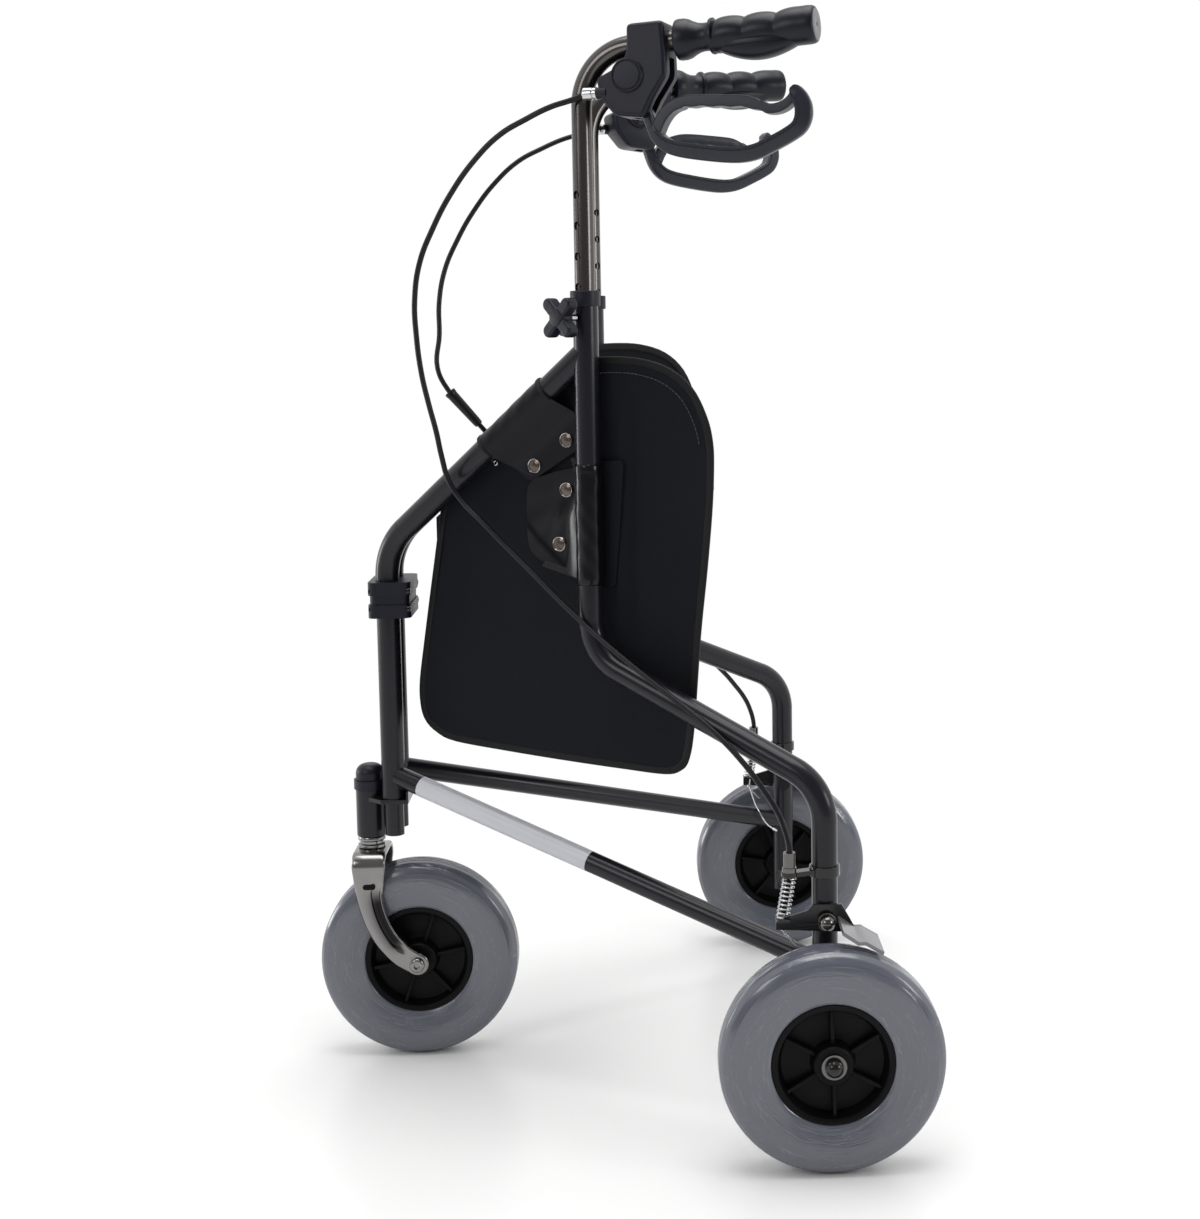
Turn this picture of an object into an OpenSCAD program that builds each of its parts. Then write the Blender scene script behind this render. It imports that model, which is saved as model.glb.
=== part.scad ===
// Three wheel rollator: two folding side frames on a caster head, height-set handles,
// loop hand brakes pulling cables to shoes over the rear tyres, and a hanging bag.
// Millimetres. Front faces -Y, up is +Z, the user's left is +X, the floor is Z = 0.

/* [Wheels] */
// outside diameter of every wheel
wheel_d = 190; // [150:1:220]
// width of every tyre
tyre_w = 46; // [38:1:52]
// radius of the tyre shoulders
tyre_shoulder = 16; // [8:1:18]
// how far the sidewall draws in at the bead
tyre_tuck = 6; // [2:0.5:8]
// diameter of the hub rim
hub_d = 103; // [85:1:120]
// thickness of the hub rim
hub_rim = 7; // [4:0.5:10]
// thickness of the hub web
hub_web = 8; // [4:0.5:14]
// width of each hub spoke
spoke_w = 4; // [2:0.5:14]
// how deep each hub spoke is
spoke_t = 26; // [12:1:28]
// number of hub spokes
spoke_count = 6; // [4:1:8]
// diameter of the hub boss
boss_d = 36; // [30:1:44]
// length of the hub boss
boss_w = 40; // [34:1:46]
// outside diameter of a wheel bearing
bearing_d = 26; // [22:0.5:28]
// length of a wheel bearing
bearing_w = 9; // [6:0.5:12]
// diameter of the rear axles
axle_d = 12; // [10:0.5:14]
// diameter of the front axle
front_axle_d = 10; // [8:0.5:12]
// distance from each rear leg to its wheel centre
wheel_out = 53; // [48:1:60]

/* [Frame] */
// angle of each side frame from straight back
open_angle = 29.4; // [25:0.1:33]
// angle each side frame swings in to fold
fold_angle = 24; // [10:1:25]
// half the distance between the two front tubes
hinge_half = 16; // [14:0.5:20]
// distance the front tubes stand ahead of the front axle
hinge_ahead = 19.5; // [15:0.5:25]
// outside diameter of the frame tube
tube_d = 22.2; // [20:0.1:25.4]
// wall of the frame tube
tube_wall = 2; // [1.2:0.1:2.5]
// outside diameter of the lower brace tube
brace_d = 19; // [16:0.5:20]
// distance from the hinge back to the upright
upright_s = 224; // [200:1:250]
// distance from the hinge back to the rear leg
leg_s = 451; // [420:1:480]
// height of the front tube foot
foot_z = 256.6; // [250:0.1:262]
// height of the corner above the front tube
front_corner_z = 498; // [480:1:520]
// height where the front tube meets the upright
join_z = 681; // [660:1:690]
// height of the corner below the upright
upright_corner_z = 410; // [390:1:425]
// height of the corner above the rear leg
leg_corner_z = 312; // [300:1:325]
// height of the upright top
upright_top_z = 730; // [720:1:740]
// how far the rear leg runs below its axle
leg_below = 16; // [12:0.5:22]
// bend radius of the front tube
front_bend_r = 60; // [45:1:80]
// bend radius of the rear tube
rear_bend_r = 46; // [36:1:55]
// height of the brace at the front tube
brace_front_z = 279; // [274:1:295]
// height of the brace at the rear leg
brace_rear_z = 155; // [140:1:165]
// gap filled by each weld
weld_gap = 0.1; // [0.05:0.05:0.2]

/* [Head] */
// distance the caster stem stands ahead of the front tubes
stem_ahead = 24.5; // [22:0.5:28]
// outside diameter of the head sleeve
head_d = 28; // [26:0.5:30]
// height of the head sleeve foot
head_low_z = 216; // [214:0.5:218]
// height of the head sleeve top
head_top_z = 262; // [258:0.5:266]
// diameter of the caster stem
stem_d = 14; // [12:0.5:16]
// outside diameter of the stem bushes
bush_d = 21; // [18:0.5:22]
// length of each stem bush
bush_w = 10; // [6:0.5:14]
// thickness of the hinge plates
plate_t = 4; // [3:0.5:5]
// height of the upper hinge plate
high_plate_z = 252; // [248:0.5:252]
// how far the hinge plates run behind the front tubes
plate_back = 15; // [13:0.5:18]
// half width of the hinge plates
plate_half = 28; // [26:0.5:32]
// height of the turned up plate edge
plate_lip = 8; // [5:0.5:9]
// thickness of the turned up plate edge
lip_t = 2; // [1.5:0.5:3]
// height of the hinge pin foot
pin_low_z = 220; // [216:0.5:221]
// height of the hinge pin top
pin_top_z = 330; // [300:1:380]
// diameter of the cap skirt
cap_d = 31; // [29:0.5:33]
// height of the cap skirt
cap_skirt = 9; // [6:0.5:12]
// diameter of the cap dome
dome_d = 27; // [25:0.5:28]
// height of the cap dome
dome_h = 15; // [13:0.5:20]
// rounding of the cap dome
dome_r = 9; // [5:0.5:12]
// height of the hinge block foot
block_z = 432; // [425:1:438]
// height of the hinge block
block_h = 34; // [28:1:38]
// half width of the hinge block
block_half = 34; // [32:0.5:38]
// depth of the front half of the hinge block
block_front = 17; // [15:0.5:20]
// depth of the rear half of the hinge block
block_rear = 23; // [18:0.5:25]
// rounding of the hinge block corners
block_r = 7; // [4:0.5:10]
// depth of the groove round the hinge block
block_groove = 1.5; // [0.5:0.1:2]
// height of the groove round the hinge block
block_groove_h = 9; // [6:0.5:12]
// diameter of a hinge block screw
block_screw_d = 4; // [3:0.5:5]

/* [Caster] */
// inside half width of the fork
fork_half = 27; // [25.5:0.5:30]
// thickness of the fork
fork_t = 5; // [4:0.5:6]
// height of the fork crown top
fork_top_z = 204; // [202:0.5:208]
// width of the fork crown seen from the side
crown_w = 32; // [26:0.5:34]
// depth of the fork crown legs
crown_drop = 26; // [20:1:32]
// rounding of the fork crown
crown_r = 12; // [8:0.5:14]
// width of each fork arm
fork_arm_w = 24; // [20:0.5:26]
// angle swept by each fork arm
fork_sweep = 47; // [42:0.5:52]
// diameter of the neck under the head
neck_d = 19; // [17:0.5:22]

/* [Handles] */
// angle of each handle from straight back
handle_angle = 20; // [10:1:30]
// rise of each handle
handle_rise = 3.2; // [0:0.1:8]
// height of the handle corner above the upright
handle_z = 940.5; // [900:0.5:970]
// diameter of the handle tube
handle_d = 18; // [16:0.1:18]
// wall of the handle tube
handle_wall = 1.5; // [1:0.1:2]
// bend radius of the handle tube
handle_bend_r = 50; // [40:1:60]
// height of the handle tube foot inside the upright
handle_foot_z = 560; // [550:1:600]
// distance from the upright to the grip end
grip_end = 212; // [200:1:225]
// distance from the upright to the grip front
grip_start = 89; // [86:1:95]
// radius of the grip
grip_r = 14.5; // [13:0.5:16]
// radius of the grip end
grip_end_r = 16; // [15:0.5:18]
// radius of the grip collar
grip_collar_r = 17; // [15:0.5:19]
// radius of the grip neck
grip_neck_r = 11.8; // [11:0.1:13]
// radius of the palm rest curve
palm_r = 60; // [50:1:75]
// how far the palm rest drops below the handle axis
palm_drop = 25; // [20:0.5:28]
// width of the palm rest
palm_w = 26; // [20:1:34]
// thickness of the brake housing
housing_t = 34; // [30:0.5:40]
// width of the lever slot in the brake housing
lever_slot = 13; // [11:0.5:16]
// diameter of the cable nipple on the housing
nipple_d = 10; // [8.5:0.5:11]
// distance of the cable nipple below the handle
nipple_drop = 38; // [36.5:0.5:39.5]
// distance of the cable nipple outside the handle
nipple_out = 13.6; // [13:0.1:14]
// depth of the bore in the cable nipple
nipple_deep = 9; // [6:0.5:12]
// length of the cable nipple
nipple_l = 12; // [11:0.5:14]
// pitch of the height holes
hole_pitch = 26.6; // [20:0.1:30]
// number of height holes above the knob bolt
hole_count = 4; // [2:1:5]
// diameter of the height holes
hole_d = 7; // [5:0.5:8]
// outside diameter of the collar on the upright
collar_d = 26.6; // [25:0.1:29]
// height of the collar above the upright top
collar_up = 4.5; // [3:0.5:8]
// length of the collar below the upright top
collar_down = 9; // [6:0.5:12]
// height of the knob bolt
knob_z = 711; // [705:0.5:714]
// turn of the knob bolt from straight out
knob_turn = -45; // [-60:1:-30]
// distance from the upright to the knob
knob_reach = 24; // [20:0.5:28]
// thickness of the knob
knob_t = 12; // [9:0.5:15]
// radius of the knob hub
knob_hub_r = 10; // [8:0.5:12]
// reach of each knob arm
knob_arm = 16; // [13:0.5:18]
// radius of each knob arm end
knob_arm_r = 5.5; // [4:0.5:7]
// diameter of the knob bolt
knob_bolt_d = 6; // [5:0.5:7]

/* [Brakes] */
// distance from the upright to the lever pivot
lever_pivot_s = 49; // [45:0.5:52]
// distance of the lever pivot below the handle
lever_pivot_drop = 24.5; // [22.5:0.5:28.5]
// diameter of the lever pivot
lever_pivot_d = 7; // [5:0.5:8]
// diameter of the disc over the lever pivot
pivot_disc_d = 29; // [24:0.5:30]
// thickness of the disc over the lever pivot
pivot_disc_t = 1.5; // [1:0.1:2]
// radius of the lever root
lever_root_r = 9; // [7:0.5:10]
// thickness of the lever root
lever_root_t = 11; // [9:0.5:13]
// width of the lever loop
lever_w = 17; // [14:0.5:20]
// thickness of the lever loop bar
lever_bar = 9; // [7:0.5:11]
// squeeze angle of the lever
lever_squeeze = 9; // [5:0.5:10]
// height of the brake arm pivot
arm_pivot_z = 200; // [198:0.5:203]
// thickness of the brake arm
arm_t = 3; // [2:0.5:4]
// gap between the rear leg and the brake arm
arm_gap = 0.8; // [0.5:0.1:1.5]
// swing of the brake arm
arm_swing = 3.5; // [2:0.1:3.6]
// diameter of the brake arm pivot bolt
arm_bolt_d = 8; // [6:0.5:9]
// thickness of the brake shoe
shoe_t = 3; // [2:0.5:4]
// how far the brake shoe reaches past the arm
shoe_w = 46; // [36:1:52]
// distance of the cable barrel ahead of the leg
barrel_ahead = 31; // [28:0.5:34]
// distance of the cable barrel outside the leg
barrel_out = 10.5; // [6:0.5:12]
// height of the cable bracket
bracket_z = 238; // [234:0.5:242]
// thickness of the cable bracket
bracket_t = 4; // [3:0.5:5]
// height of the cable bracket band
band_h = 9; // [6:0.5:12]
// wall of the cable bracket band
band_t = 2; // [1.5:0.1:2.5]
// diameter of the cable barrel
barrel_d = 10; // [8:0.5:12]
// length of the cable barrel
barrel_l = 17; // [12:0.5:20]
// diameter of the return spring
spring_d = 12; // [10:0.5:13]
// diameter of the spring wire
spring_wire = 1.4; // [1:0.1:1.8]
// number of spring curls
spring_curls = 12; // [8:1:14]
// diameter of the brake wire
wire_d = 1.8; // [1.4:0.1:2.2]
// diameter of the brake cable
cable_d = 5; // [4:0.1:5.5]

/* [Bag] */
// thickness of the bag panels
panel_t = 2.5; // [1.5:0.1:4]
// thickness of the bag straps
strap_t = 1.4; // [1:0.1:2]
// gap between the straps and the bag panels
strap_gap = 0.3; // [0.2:0.05:0.6]
// rounding of the bag top corner
bag_top_r = 66; // [50:1:72]
// rounding of the bag bottom corners
bag_low_r = 16; // [10:1:22]
// diameter of a bag snap
snap_d = 12; // [10:0.5:13]
// thickness of a bag snap
snap_t = 2.2; // [1.5:0.1:3]
// thickness of the bag gusset
gusset_t = 1.5; // [1:0.1:2.5]

/* [Fold stay] */
// distance from the upright to the stay pivot
stay_reach = 26; // [24:0.5:29]
// distance from the hinge line back to the stay knuckle
stay_back = 298; // [290:1:305]
// height of the left stay link
stay_z = 546; // [542:0.5:550]
// thickness of each stay link
stay_t = 4; // [3:0.5:5]
// gap between the two stay links
stay_gap = 0.6; // [0.4:0.1:1]
// width of each stay link
stay_w = 15; // [12:0.5:18]
// diameter of the stay pins
stay_pin_d = 6; // [5:0.5:7]
// play of the stay knuckle pin
stay_play = 6; // [5.8:0.1:6.4]
// thickness of the lug plates on the upright
lug_t = 3; // [2:0.5:4]
// width of the lug plates on the upright
lug_w = 14; // [12:0.5:16]
// clear height between the lug plates
lug_room = 13; // [12:0.5:18]

/* [Fits] */
// clearance of a running fit on radius
run_fit = 0.06; // [0.03:0.01:0.1]
// clearance between faces that pass each other
face_gap = 0.4; // [0.3:0.05:0.6]
// length a cut runs past the faces it opens
overrun = 1; // [0.5:0.5:3]
// length a straight tube runs into its bend
seam_lap = 0.5; // [0.3:0.1:1]
// swelling of a tube at its bend
seam_step = 0.1; // [0.05:0.05:0.2]

/* [Hidden] */
$fn = 64;

steel = [0.24, 0.24, 0.25];
bright = [0.75, 0.76, 0.78];
black = [0.07, 0.07, 0.08];
rubber = [0.42, 0.44, 0.47];
cloth = [0.05, 0.05, 0.06];

wheel_r = wheel_d / 2;
tube_r = tube_d / 2;
bore_r = tube_r - tube_wall;
pin_r = bore_r - run_fit;
handle_r = handle_d / 2;
brace_r = brace_d / 2;
hub_r = hub_d / 2;
bead_half = tyre_w / 2 - tyre_tuck;
hinge_y = -(hinge_ahead + leg_s * cos(open_angle)) / 2;
front_y = hinge_y + hinge_ahead;
stem_y = hinge_y - stem_ahead;
leg_x = hinge_half + leg_s * sin(open_angle);
leg_y = hinge_y + leg_s * cos(open_angle);
upright_x = hinge_half + upright_s * sin(open_angle);
upright_y = hinge_y + upright_s * cos(open_angle);
rear_x = leg_x + wheel_out;
arm_x = tube_r + arm_gap;
panel_x = tube_r + strap_t + strap_gap;
rise_slope = tan(handle_rise);
nipple_z = handle_z - nipple_drop;
lever_pivot_z = handle_z - lever_pivot_drop;

// head of a screw as a share of its shank, and the sides and rings of wound pieces
knuckle_head = 1.5;
ring_sides = 8;
spring_sides = 6;
spring_rings = 8;

// brake housing outline, distance behind the upright and height above the handle
housing_points = [[48, 19], [81, 20.5], [83.5, -9.5], [84, -25.5], [71, -44.5], [63, -60.5],
    [36, -57.5], [23, -42.5], [19.5, -25.5], [42, -15], [47.5, -4.5]];
housing_outline = above_handle(housing_points);
// outline of the slot that clears the lever root
slot_points = [[36, -9.5], [90, -9.5], [90, -68.5], [58, -68.5], [36, -45.5]];
slot_outline = above_handle(slot_points);
// middle line of the lever loop, distance behind the upright and height above the handle
loop_points = [[66, -69.5], [78, -83.5], [108, -90.5], [145, -94.5], [168, -89.5], [193, -76.5],
    [203, -63.5], [198, -47.5], [184, -52], [155, -50.5], [99, -47], [84, -50.5], [66, -69.5]];
loop_line = above_handle(loop_points);
// middle line of the lever root from the pivot to the loop
root_points = [[lever_pivot_s, -lever_pivot_drop], [60, -51.5], loop_points[0]];
root_line = above_handle(root_points);
// brake arm outline, distance behind its pivot and height above it
arm_outline = [[-43, 1], [-43, -7], [12, -10], [24, -6], [13, 14], [-12, 14], [-16, 9]];
// under side of the brake shoe, distance behind the arm pivot and height above it
shoe_line = [[9, 1], [22, -8], [28, -8], [43, -17]];
// seat of the return spring on the brake arm
seat_box = [[-43, -31], [0.5, 2.5]];
// loose end of the brake wire, distance behind the arm pivot and height above it
tail_line = [[-36.5, -7.5], [-35, -12], [-25, -22]];
// bag panel outline in the side frame, distance behind the hinge and height
panel_outline = [[26, 319], [312, 305], [341, 680], [206, 680], [58, 540]];
// vinyl flap under the sloping tube
slope_flap = [[109, 587], [177, 642.6], [209, 618], [212, 598], [160, 563], [112, 583]];
// stretch of the sloping tube inside the vinyl strap
slope_wrap = [109, 177];
// vinyl flap ahead of the upright
upright_flap = [[223, 582], [180, 571], [155, 562], [151, 508], [160, 494], [223, 474]];
// stretch of the upright inside the vinyl strap
upright_wrap = [474, 582];
// bag snaps, distance behind the hinge and height
snap_places = [[195, 602], [160.5, 578], [194, 557], [185.5, 507.5]];
// upper part of the brake cable route on the left side, hanging from the handle
cable_hang = [[145.5, 2.5, -38], [142.5, -5.5, -38], [140, -18, -42.5], [137, -38, -48.5],
    [132, -60, -58.5], [127, -82, -70.5], [121, -105, -91.5], [115, -128, -121.5],
    [110, -144, -149.5], [106, -157, -179.5], [101, -163, -212.5], [96, -163, -243.5]];
cable_high = [for (p = cable_hang) [p[0], p[1], handle_z + p[2]]];
// lower part of the brake cable route on the left side
cable_low = [[92, -160, 664], [88, -155, 637], [84, -149, 610], [81, -145, 587], [80, -139, 564],
    [84, -127, 546], [92, -111, 530], [102, -88, 507], [113, -66, 486], [130, -34, 455],
    [147, -3, 428], [167, 32, 401], [186, 66, 376], [203, 96, 353], [219, 120, 329],
    [230, 134, 311], [239, 146, 293], [244, 152, 279], [247, 155, 268], [248, 156, 260],
    [248, 156, 253]];
cable_route = concat(cable_high, cable_low);
// stretch of the right hand cable that is laid behind the sloping tube, mirrored to the left
cable_tucked = [[89.7, -165.1, 664], [86.9, -153.7, 640.4], [87, -139.2, 623.7],
    [87.2, -124.7, 607], [92.6, -109.3, 588], [101.4, -92.5, 565], [111.4, -74, 538],
    [121.8, -54.6, 509], [131.6, -36.1, 481], [140.6, -18.1, 453]];
// first place of the lower route that both cables share again
cable_shared = 10;
right_route = concat(cable_high, cable_tucked,
    [for (i = [cable_shared:len(cable_low) - 1]) cable_low[i]]);
// stretch of the right cable inside its sleeve, as places along the tucked stretch
sleeve_places = [1, 3];

// angle of the line from p to q
function bearing_of(p, q) = atan2(q[1] - p[1], q[0] - p[0]);
// signed turn from heading a to heading b
function turn_of(a, b) = let (d = b - a) d > 180 ? d - 360 : d < -180 ? d + 360 : d;
// length used up on each side of a bend
function bend_lead(p, c, q, r) =
    r * tan(abs(turn_of(bearing_of(p, c), bearing_of(c, q))) / 2);
// outline lifted to the height of the handle
function above_handle(p) = [for (q = p) [q[0], q[1] + handle_z]];
// unit vector from p to q
function toward(p, q) = (q - p) / norm(q - p);
// smooth point between places on a route
function smooth(a, b, c, d, t) = 0.5 * (2 * b + (c - a) * t
    + (2 * a - 5 * b + 4 * c - d) * t * t + (3 * b - a - 3 * c + d) * t * t * t);
// route with every gap halved by a smooth point
function finer(p) = [for (i = [0:len(p) - 2], t = [0, 0.5])
    smooth(p[max(i - 1, 0)], p[i], p[i + 1], p[min(i + 2, len(p) - 1)], t), p[len(p) - 1]];

module left_place() {
    translate([hinge_half, hinge_y, 0]) rotate([0, 0, -open_angle]) children();
}

module right_side() {
    mirror([1, 0, 0]) children();
}

module handle_place() {
    translate([upright_x, upright_y, 0]) rotate([0, 0, -handle_angle]) children();
}

module grip_axis() {
    handle_place() translate([0, 0, handle_z]) rotate([handle_rise - 90, 0, 0]) children();
}

module slab(t) {
    rotate([90, 0, 90]) linear_extrude(height = t, center = true) children();
}

module rod(p, q, r) {
    translate([0, p[0], p[1]])
        rotate([bearing_of(p, q) - 90, 0, 0])
            cylinder(r = r, h = norm(q - p));
}

module rod3(p, q, r) {
    v = q - p;
    translate(p)
        rotate([0, acos(v[2] / norm(v)), atan2(v[1], v[0])])
            cylinder(r = r, h = norm(v));
}

module elbow(p, c, q, bend, r) {
    a = bearing_of(p, c);
    b = bearing_of(c, q);
    t = turn_of(a, b);
    start = c - bend_lead(p, c, q, bend) * [cos(a), sin(a)];
    middle = start + sign(t) * bend * [-sin(a), cos(a)];
    translate([0, middle[0], middle[1]])
        rotate([90, 0, 90])
            rotate([0, 0, t > 0 ? a - 90 : b + 90])
                rotate_extrude(angle = abs(t)) translate([bend, 0]) circle(r = r + seam_step);
}

module run(path, bend, r, lead) {
    n = len(path);
    for (i = [0:n - 2]) {
        d = toward(path[i], path[i + 1]);
        cut_in = i == 0 ? -lead
            : bend_lead(path[i - 1], path[i], path[i + 1], bend) - seam_lap;
        cut_out = i == n - 2 ? -lead
            : bend_lead(path[i], path[i + 1], path[i + 2], bend) - seam_lap;
        rod(path[i] + cut_in * d, path[i + 1] - cut_out * d, r);
    }
    for (i = [1:n - 2]) {
        elbow(path[i - 1], path[i], path[i + 1], bend, r);
    }
}

module bent_tube(path, bend, r, wall) {
    difference() {
        run(path, bend, r, 0);
        run(path, bend, r - wall, overrun);
    }
}

module rounded(pts, radii, lap = 0) {
    n = len(pts);
    lead = [for (i = [0:n - 1]) let (u = toward(pts[i], pts[(i + n - 1) % n]),
        w = toward(pts[i], pts[(i + 1) % n]), h = acos(u * w) / 2)
        [pts[i] + u * radii[i] / tan(h), pts[i] + w * radii[i] / tan(h),
        pts[i] + (u + w) / norm(u + w) * radii[i] / sin(h)]];
    polygon([for (i = [0:n - 1], k = [0, 1]) lead[i][k]]);
    for (i = [0:n - 1]) {
        if (radii[i] > 0) {
            translate(lead[i][2]) circle(r = radii[i] + lap);
        }
    }
}

module stroke(line, w) {
    for (i = [0:len(line) - 2]) {
        translate(line[i])
            rotate(bearing_of(line[i], line[i + 1]))
                translate([0, -w / 2]) square([norm(line[i + 1] - line[i]), w]);
    }
    for (p = line) {
        translate(p) circle(d = w + 2 * seam_step);
    }
}

module along_x(h, r) {
    rotate([0, 90, 0]) cylinder(r = r, h = h, center = true);
}

module tyre_shape() {
    rotate([0, 90, 0]) rotate_extrude() {
        polygon([[hub_r, -bead_half], [wheel_r - tyre_shoulder, -tyre_w / 2],
            [wheel_r - tyre_shoulder, tyre_w / 2], [hub_r, bead_half]]);
        translate([hub_r, tyre_shoulder - tyre_w / 2])
            square([wheel_r - hub_r, tyre_w - 2 * tyre_shoulder]);
        for (s = [-1, 1]) {
            translate([wheel_r - tyre_shoulder, s * (tyre_w / 2 - tyre_shoulder)])
                circle(r = tyre_shoulder);
        }
    }
}

module hub_shape(bore) {
    difference() {
        union() {
            difference() {
                along_x(2 * bead_half, hub_r);
                along_x(2 * bead_half + overrun, hub_r - hub_rim);
            }
            along_x(hub_web, hub_r - hub_rim / 2);
            along_x(boss_w, boss_d / 2);
            for (i = [0:spoke_count - 1]) {
                rotate([i * 360 / spoke_count, 0, 0])
                    translate([-spoke_t / 2, -spoke_w / 2, 0])
                        cube([spoke_t, spoke_w, hub_r - hub_rim / 2]);
            }
        }
        along_x(boss_w + overrun, bore / 2 + face_gap);
        for (s = [-1, 1]) {
            translate([s * boss_w / 2, 0, 0]) along_x(2 * bearing_w, bearing_d / 2);
        }
    }
}

module bearing_shape(bore) {
    for (s = [-1, 1]) {
        translate([s * (boss_w - bearing_w) / 2, 0, 0]) difference() {
            along_x(bearing_w, bearing_d / 2);
            along_x(bearing_w + overrun, bore / 2 + run_fit);
        }
    }
}

module head_plate_outline() {
    translate([0, -stem_ahead]) circle(d = head_d);
    polygon([[-head_d / 2, -stem_ahead], [head_d / 2, -stem_ahead], [plate_half, -tube_r],
        [plate_half, plate_back], [-plate_half, plate_back], [-plate_half, -tube_r]]);
}

module head_tube() {
    color(steel) translate([0, hinge_y, 0]) difference() {
        union() {
            translate([0, -stem_ahead, head_low_z])
                cylinder(d = head_d, h = head_top_z - head_low_z);
            translate([0, 0, high_plate_z]) linear_extrude(height = plate_t) head_plate_outline();
            translate([-plate_half, plate_back - lip_t, high_plate_z])
                cube([2 * plate_half, lip_t, plate_t + plate_lip]);
        }
        translate([0, -stem_ahead, head_low_z - overrun])
            cylinder(d = bush_d, h = head_top_z - head_low_z + 2 * overrun);
        for (s = [-1, 1]) {
            translate([s * hinge_half, 0, high_plate_z - overrun])
                cylinder(r = pin_r, h = plate_t + 2 * overrun);
        }
    }
}

module head_cap() {
    cap_z = head_top_z;
    color(black) translate([0, stem_y, cap_z]) difference() {
        rotate_extrude() {
            square([cap_d / 2, cap_skirt]);
            square([dome_d / 2, cap_skirt + dome_h - dome_r]);
            square([dome_d / 2 - dome_r, cap_skirt + dome_h]);
            intersection() {
                translate([dome_d / 2 - dome_r, cap_skirt + dome_h - dome_r])
                    circle(r = dome_r);
                square([dome_d, cap_skirt + 2 * dome_h]);
            }
        }
        translate([0, 0, -overrun]) cylinder(d = bush_d, h = cap_skirt + overrun);
    }
}

module head_bushes() {
    color(black) translate([0, stem_y, 0]) {
        for (z = [head_low_z, head_top_z - bush_w]) {
            translate([0, 0, z]) difference() {
                cylinder(d = bush_d, h = bush_w);
                translate([0, 0, -overrun])
                    cylinder(r = stem_d / 2 + run_fit, h = bush_w + 2 * overrun);
            }
        }
    }
}

module hinge_pins() {
    color(steel) for (s = [-1, 1]) {
        translate([s * hinge_half, hinge_y, pin_low_z])
            cylinder(r = pin_r, h = pin_top_z - pin_low_z);
    }
}

module block_layer(depth, side, inset, h) {
    linear_extrude(height = h) rounded([[inset - block_half, 0], [block_half - inset, 0],
        [block_half - inset, side * (depth - inset)], [inset - block_half, side * (depth - inset)]],
        [0, 0, block_r, block_r]);
}

module block_half_shape(depth, side) {
    band = (block_h - block_groove_h) / 2;
    difference() {
        union() {
            translate([0, 0, block_z]) block_layer(depth, side, 0, band);
            translate([0, 0, block_z]) block_layer(depth, side, block_groove, block_h);
            translate([0, 0, block_z + block_h - band]) block_layer(depth, side, 0, band);
        }
        for (s = [-1, 1]) {
            translate([s * hinge_half, 0, block_z - overrun])
                cylinder(r = tube_r + run_fit, h = block_h + 2 * overrun);
        }
        block_screw_holes(block_screw_d);
    }
}

module block_screw_holes(d) {
    for (x = [0, 1, -1], z = [0.25, 0.75]) {
        translate([x * (block_half + hinge_half + tube_r) / 2, 0, block_z + z * block_h])
            rotate([90, 0, 0])
                cylinder(d = d, h = 2 * (block_rear + overrun), center = true);
    }
}

module hinge_block_front() {
    color(black) translate([0, hinge_y, 0]) block_half_shape(block_front, -1);
}

module hinge_block_rear() {
    color(black) translate([0, hinge_y, 0]) block_half_shape(block_rear, 1);
}

module hinge_block_screws() {
    color(bright) translate([0, hinge_y, 0]) {
        for (x = [0, 1, -1], z = [0.25, 0.75]) {
            translate([x * (block_half + hinge_half + tube_r) / 2, 0, block_z + z * block_h])
                rotate([-90, 0, 0]) {
                    translate([0, 0, -block_front])
                        cylinder(d = block_screw_d, h = block_front + block_rear);
                    translate([0, 0, block_rear])
                        cylinder(d = block_screw_d * knuckle_head, h = block_screw_d / 2);
                }
        }
    }
}

module caster_stem() {
    color(bright) translate([0, stem_y, 0]) {
        translate([0, 0, fork_top_z])
            cylinder(d = neck_d, h = head_low_z - face_gap - fork_top_z);
        translate([0, 0, fork_top_z])
            cylinder(d = stem_d, h = head_top_z + cap_skirt / 2 - fork_top_z);
        translate([0, 0, head_top_z + face_gap])
            cylinder(d = bush_d - 2 * face_gap, h = cap_skirt / 2);
    }
}

module fork_arm() {
    reach = hinge_ahead + stem_ahead;
    sweep_r = reach / (1 - cos(fork_sweep));
    top = wheel_r + sweep_r * sin(fork_sweep);
    translate([-reach + sweep_r, top]) intersection() {
        difference() {
            circle(r = sweep_r + fork_arm_w / 2, $fn = 180);
            circle(r = sweep_r - fork_arm_w / 2, $fn = 180);
        }
        polygon([[0, 0], [-2 * sweep_r, 0],
            [-2 * sweep_r * cos(fork_sweep), -2 * sweep_r * sin(fork_sweep)]]);
    }
    translate([0, wheel_r]) circle(d = fork_arm_w);
}

module caster_fork() {
    fork_out = fork_half + fork_t;
    color(bright) difference() {
        union() {
            translate([0, stem_y, 0]) rotate([90, 0, 0])
                linear_extrude(height = crown_w, center = true) difference() {
                    rounded([[-fork_out, fork_top_z - crown_drop],
                        [fork_out, fork_top_z - crown_drop], [fork_out, fork_top_z],
                        [-fork_out, fork_top_z]], [0, 0, crown_r, crown_r]);
                    rounded([[-fork_half, fork_top_z - crown_drop - overrun],
                        [fork_half, fork_top_z - crown_drop - overrun],
                        [fork_half, fork_top_z - fork_t], [-fork_half, fork_top_z - fork_t]],
                        [0, 0, crown_r - fork_t, crown_r - fork_t]);
                }
            for (s = [-1, 1]) {
                translate([s * (fork_half + fork_t / 2), front_y, 0]) slab(fork_t) fork_arm();
            }
        }
        translate([0, front_y, wheel_r]) along_x(2 * fork_out + overrun, front_axle_d / 2);
    }
}

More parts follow.
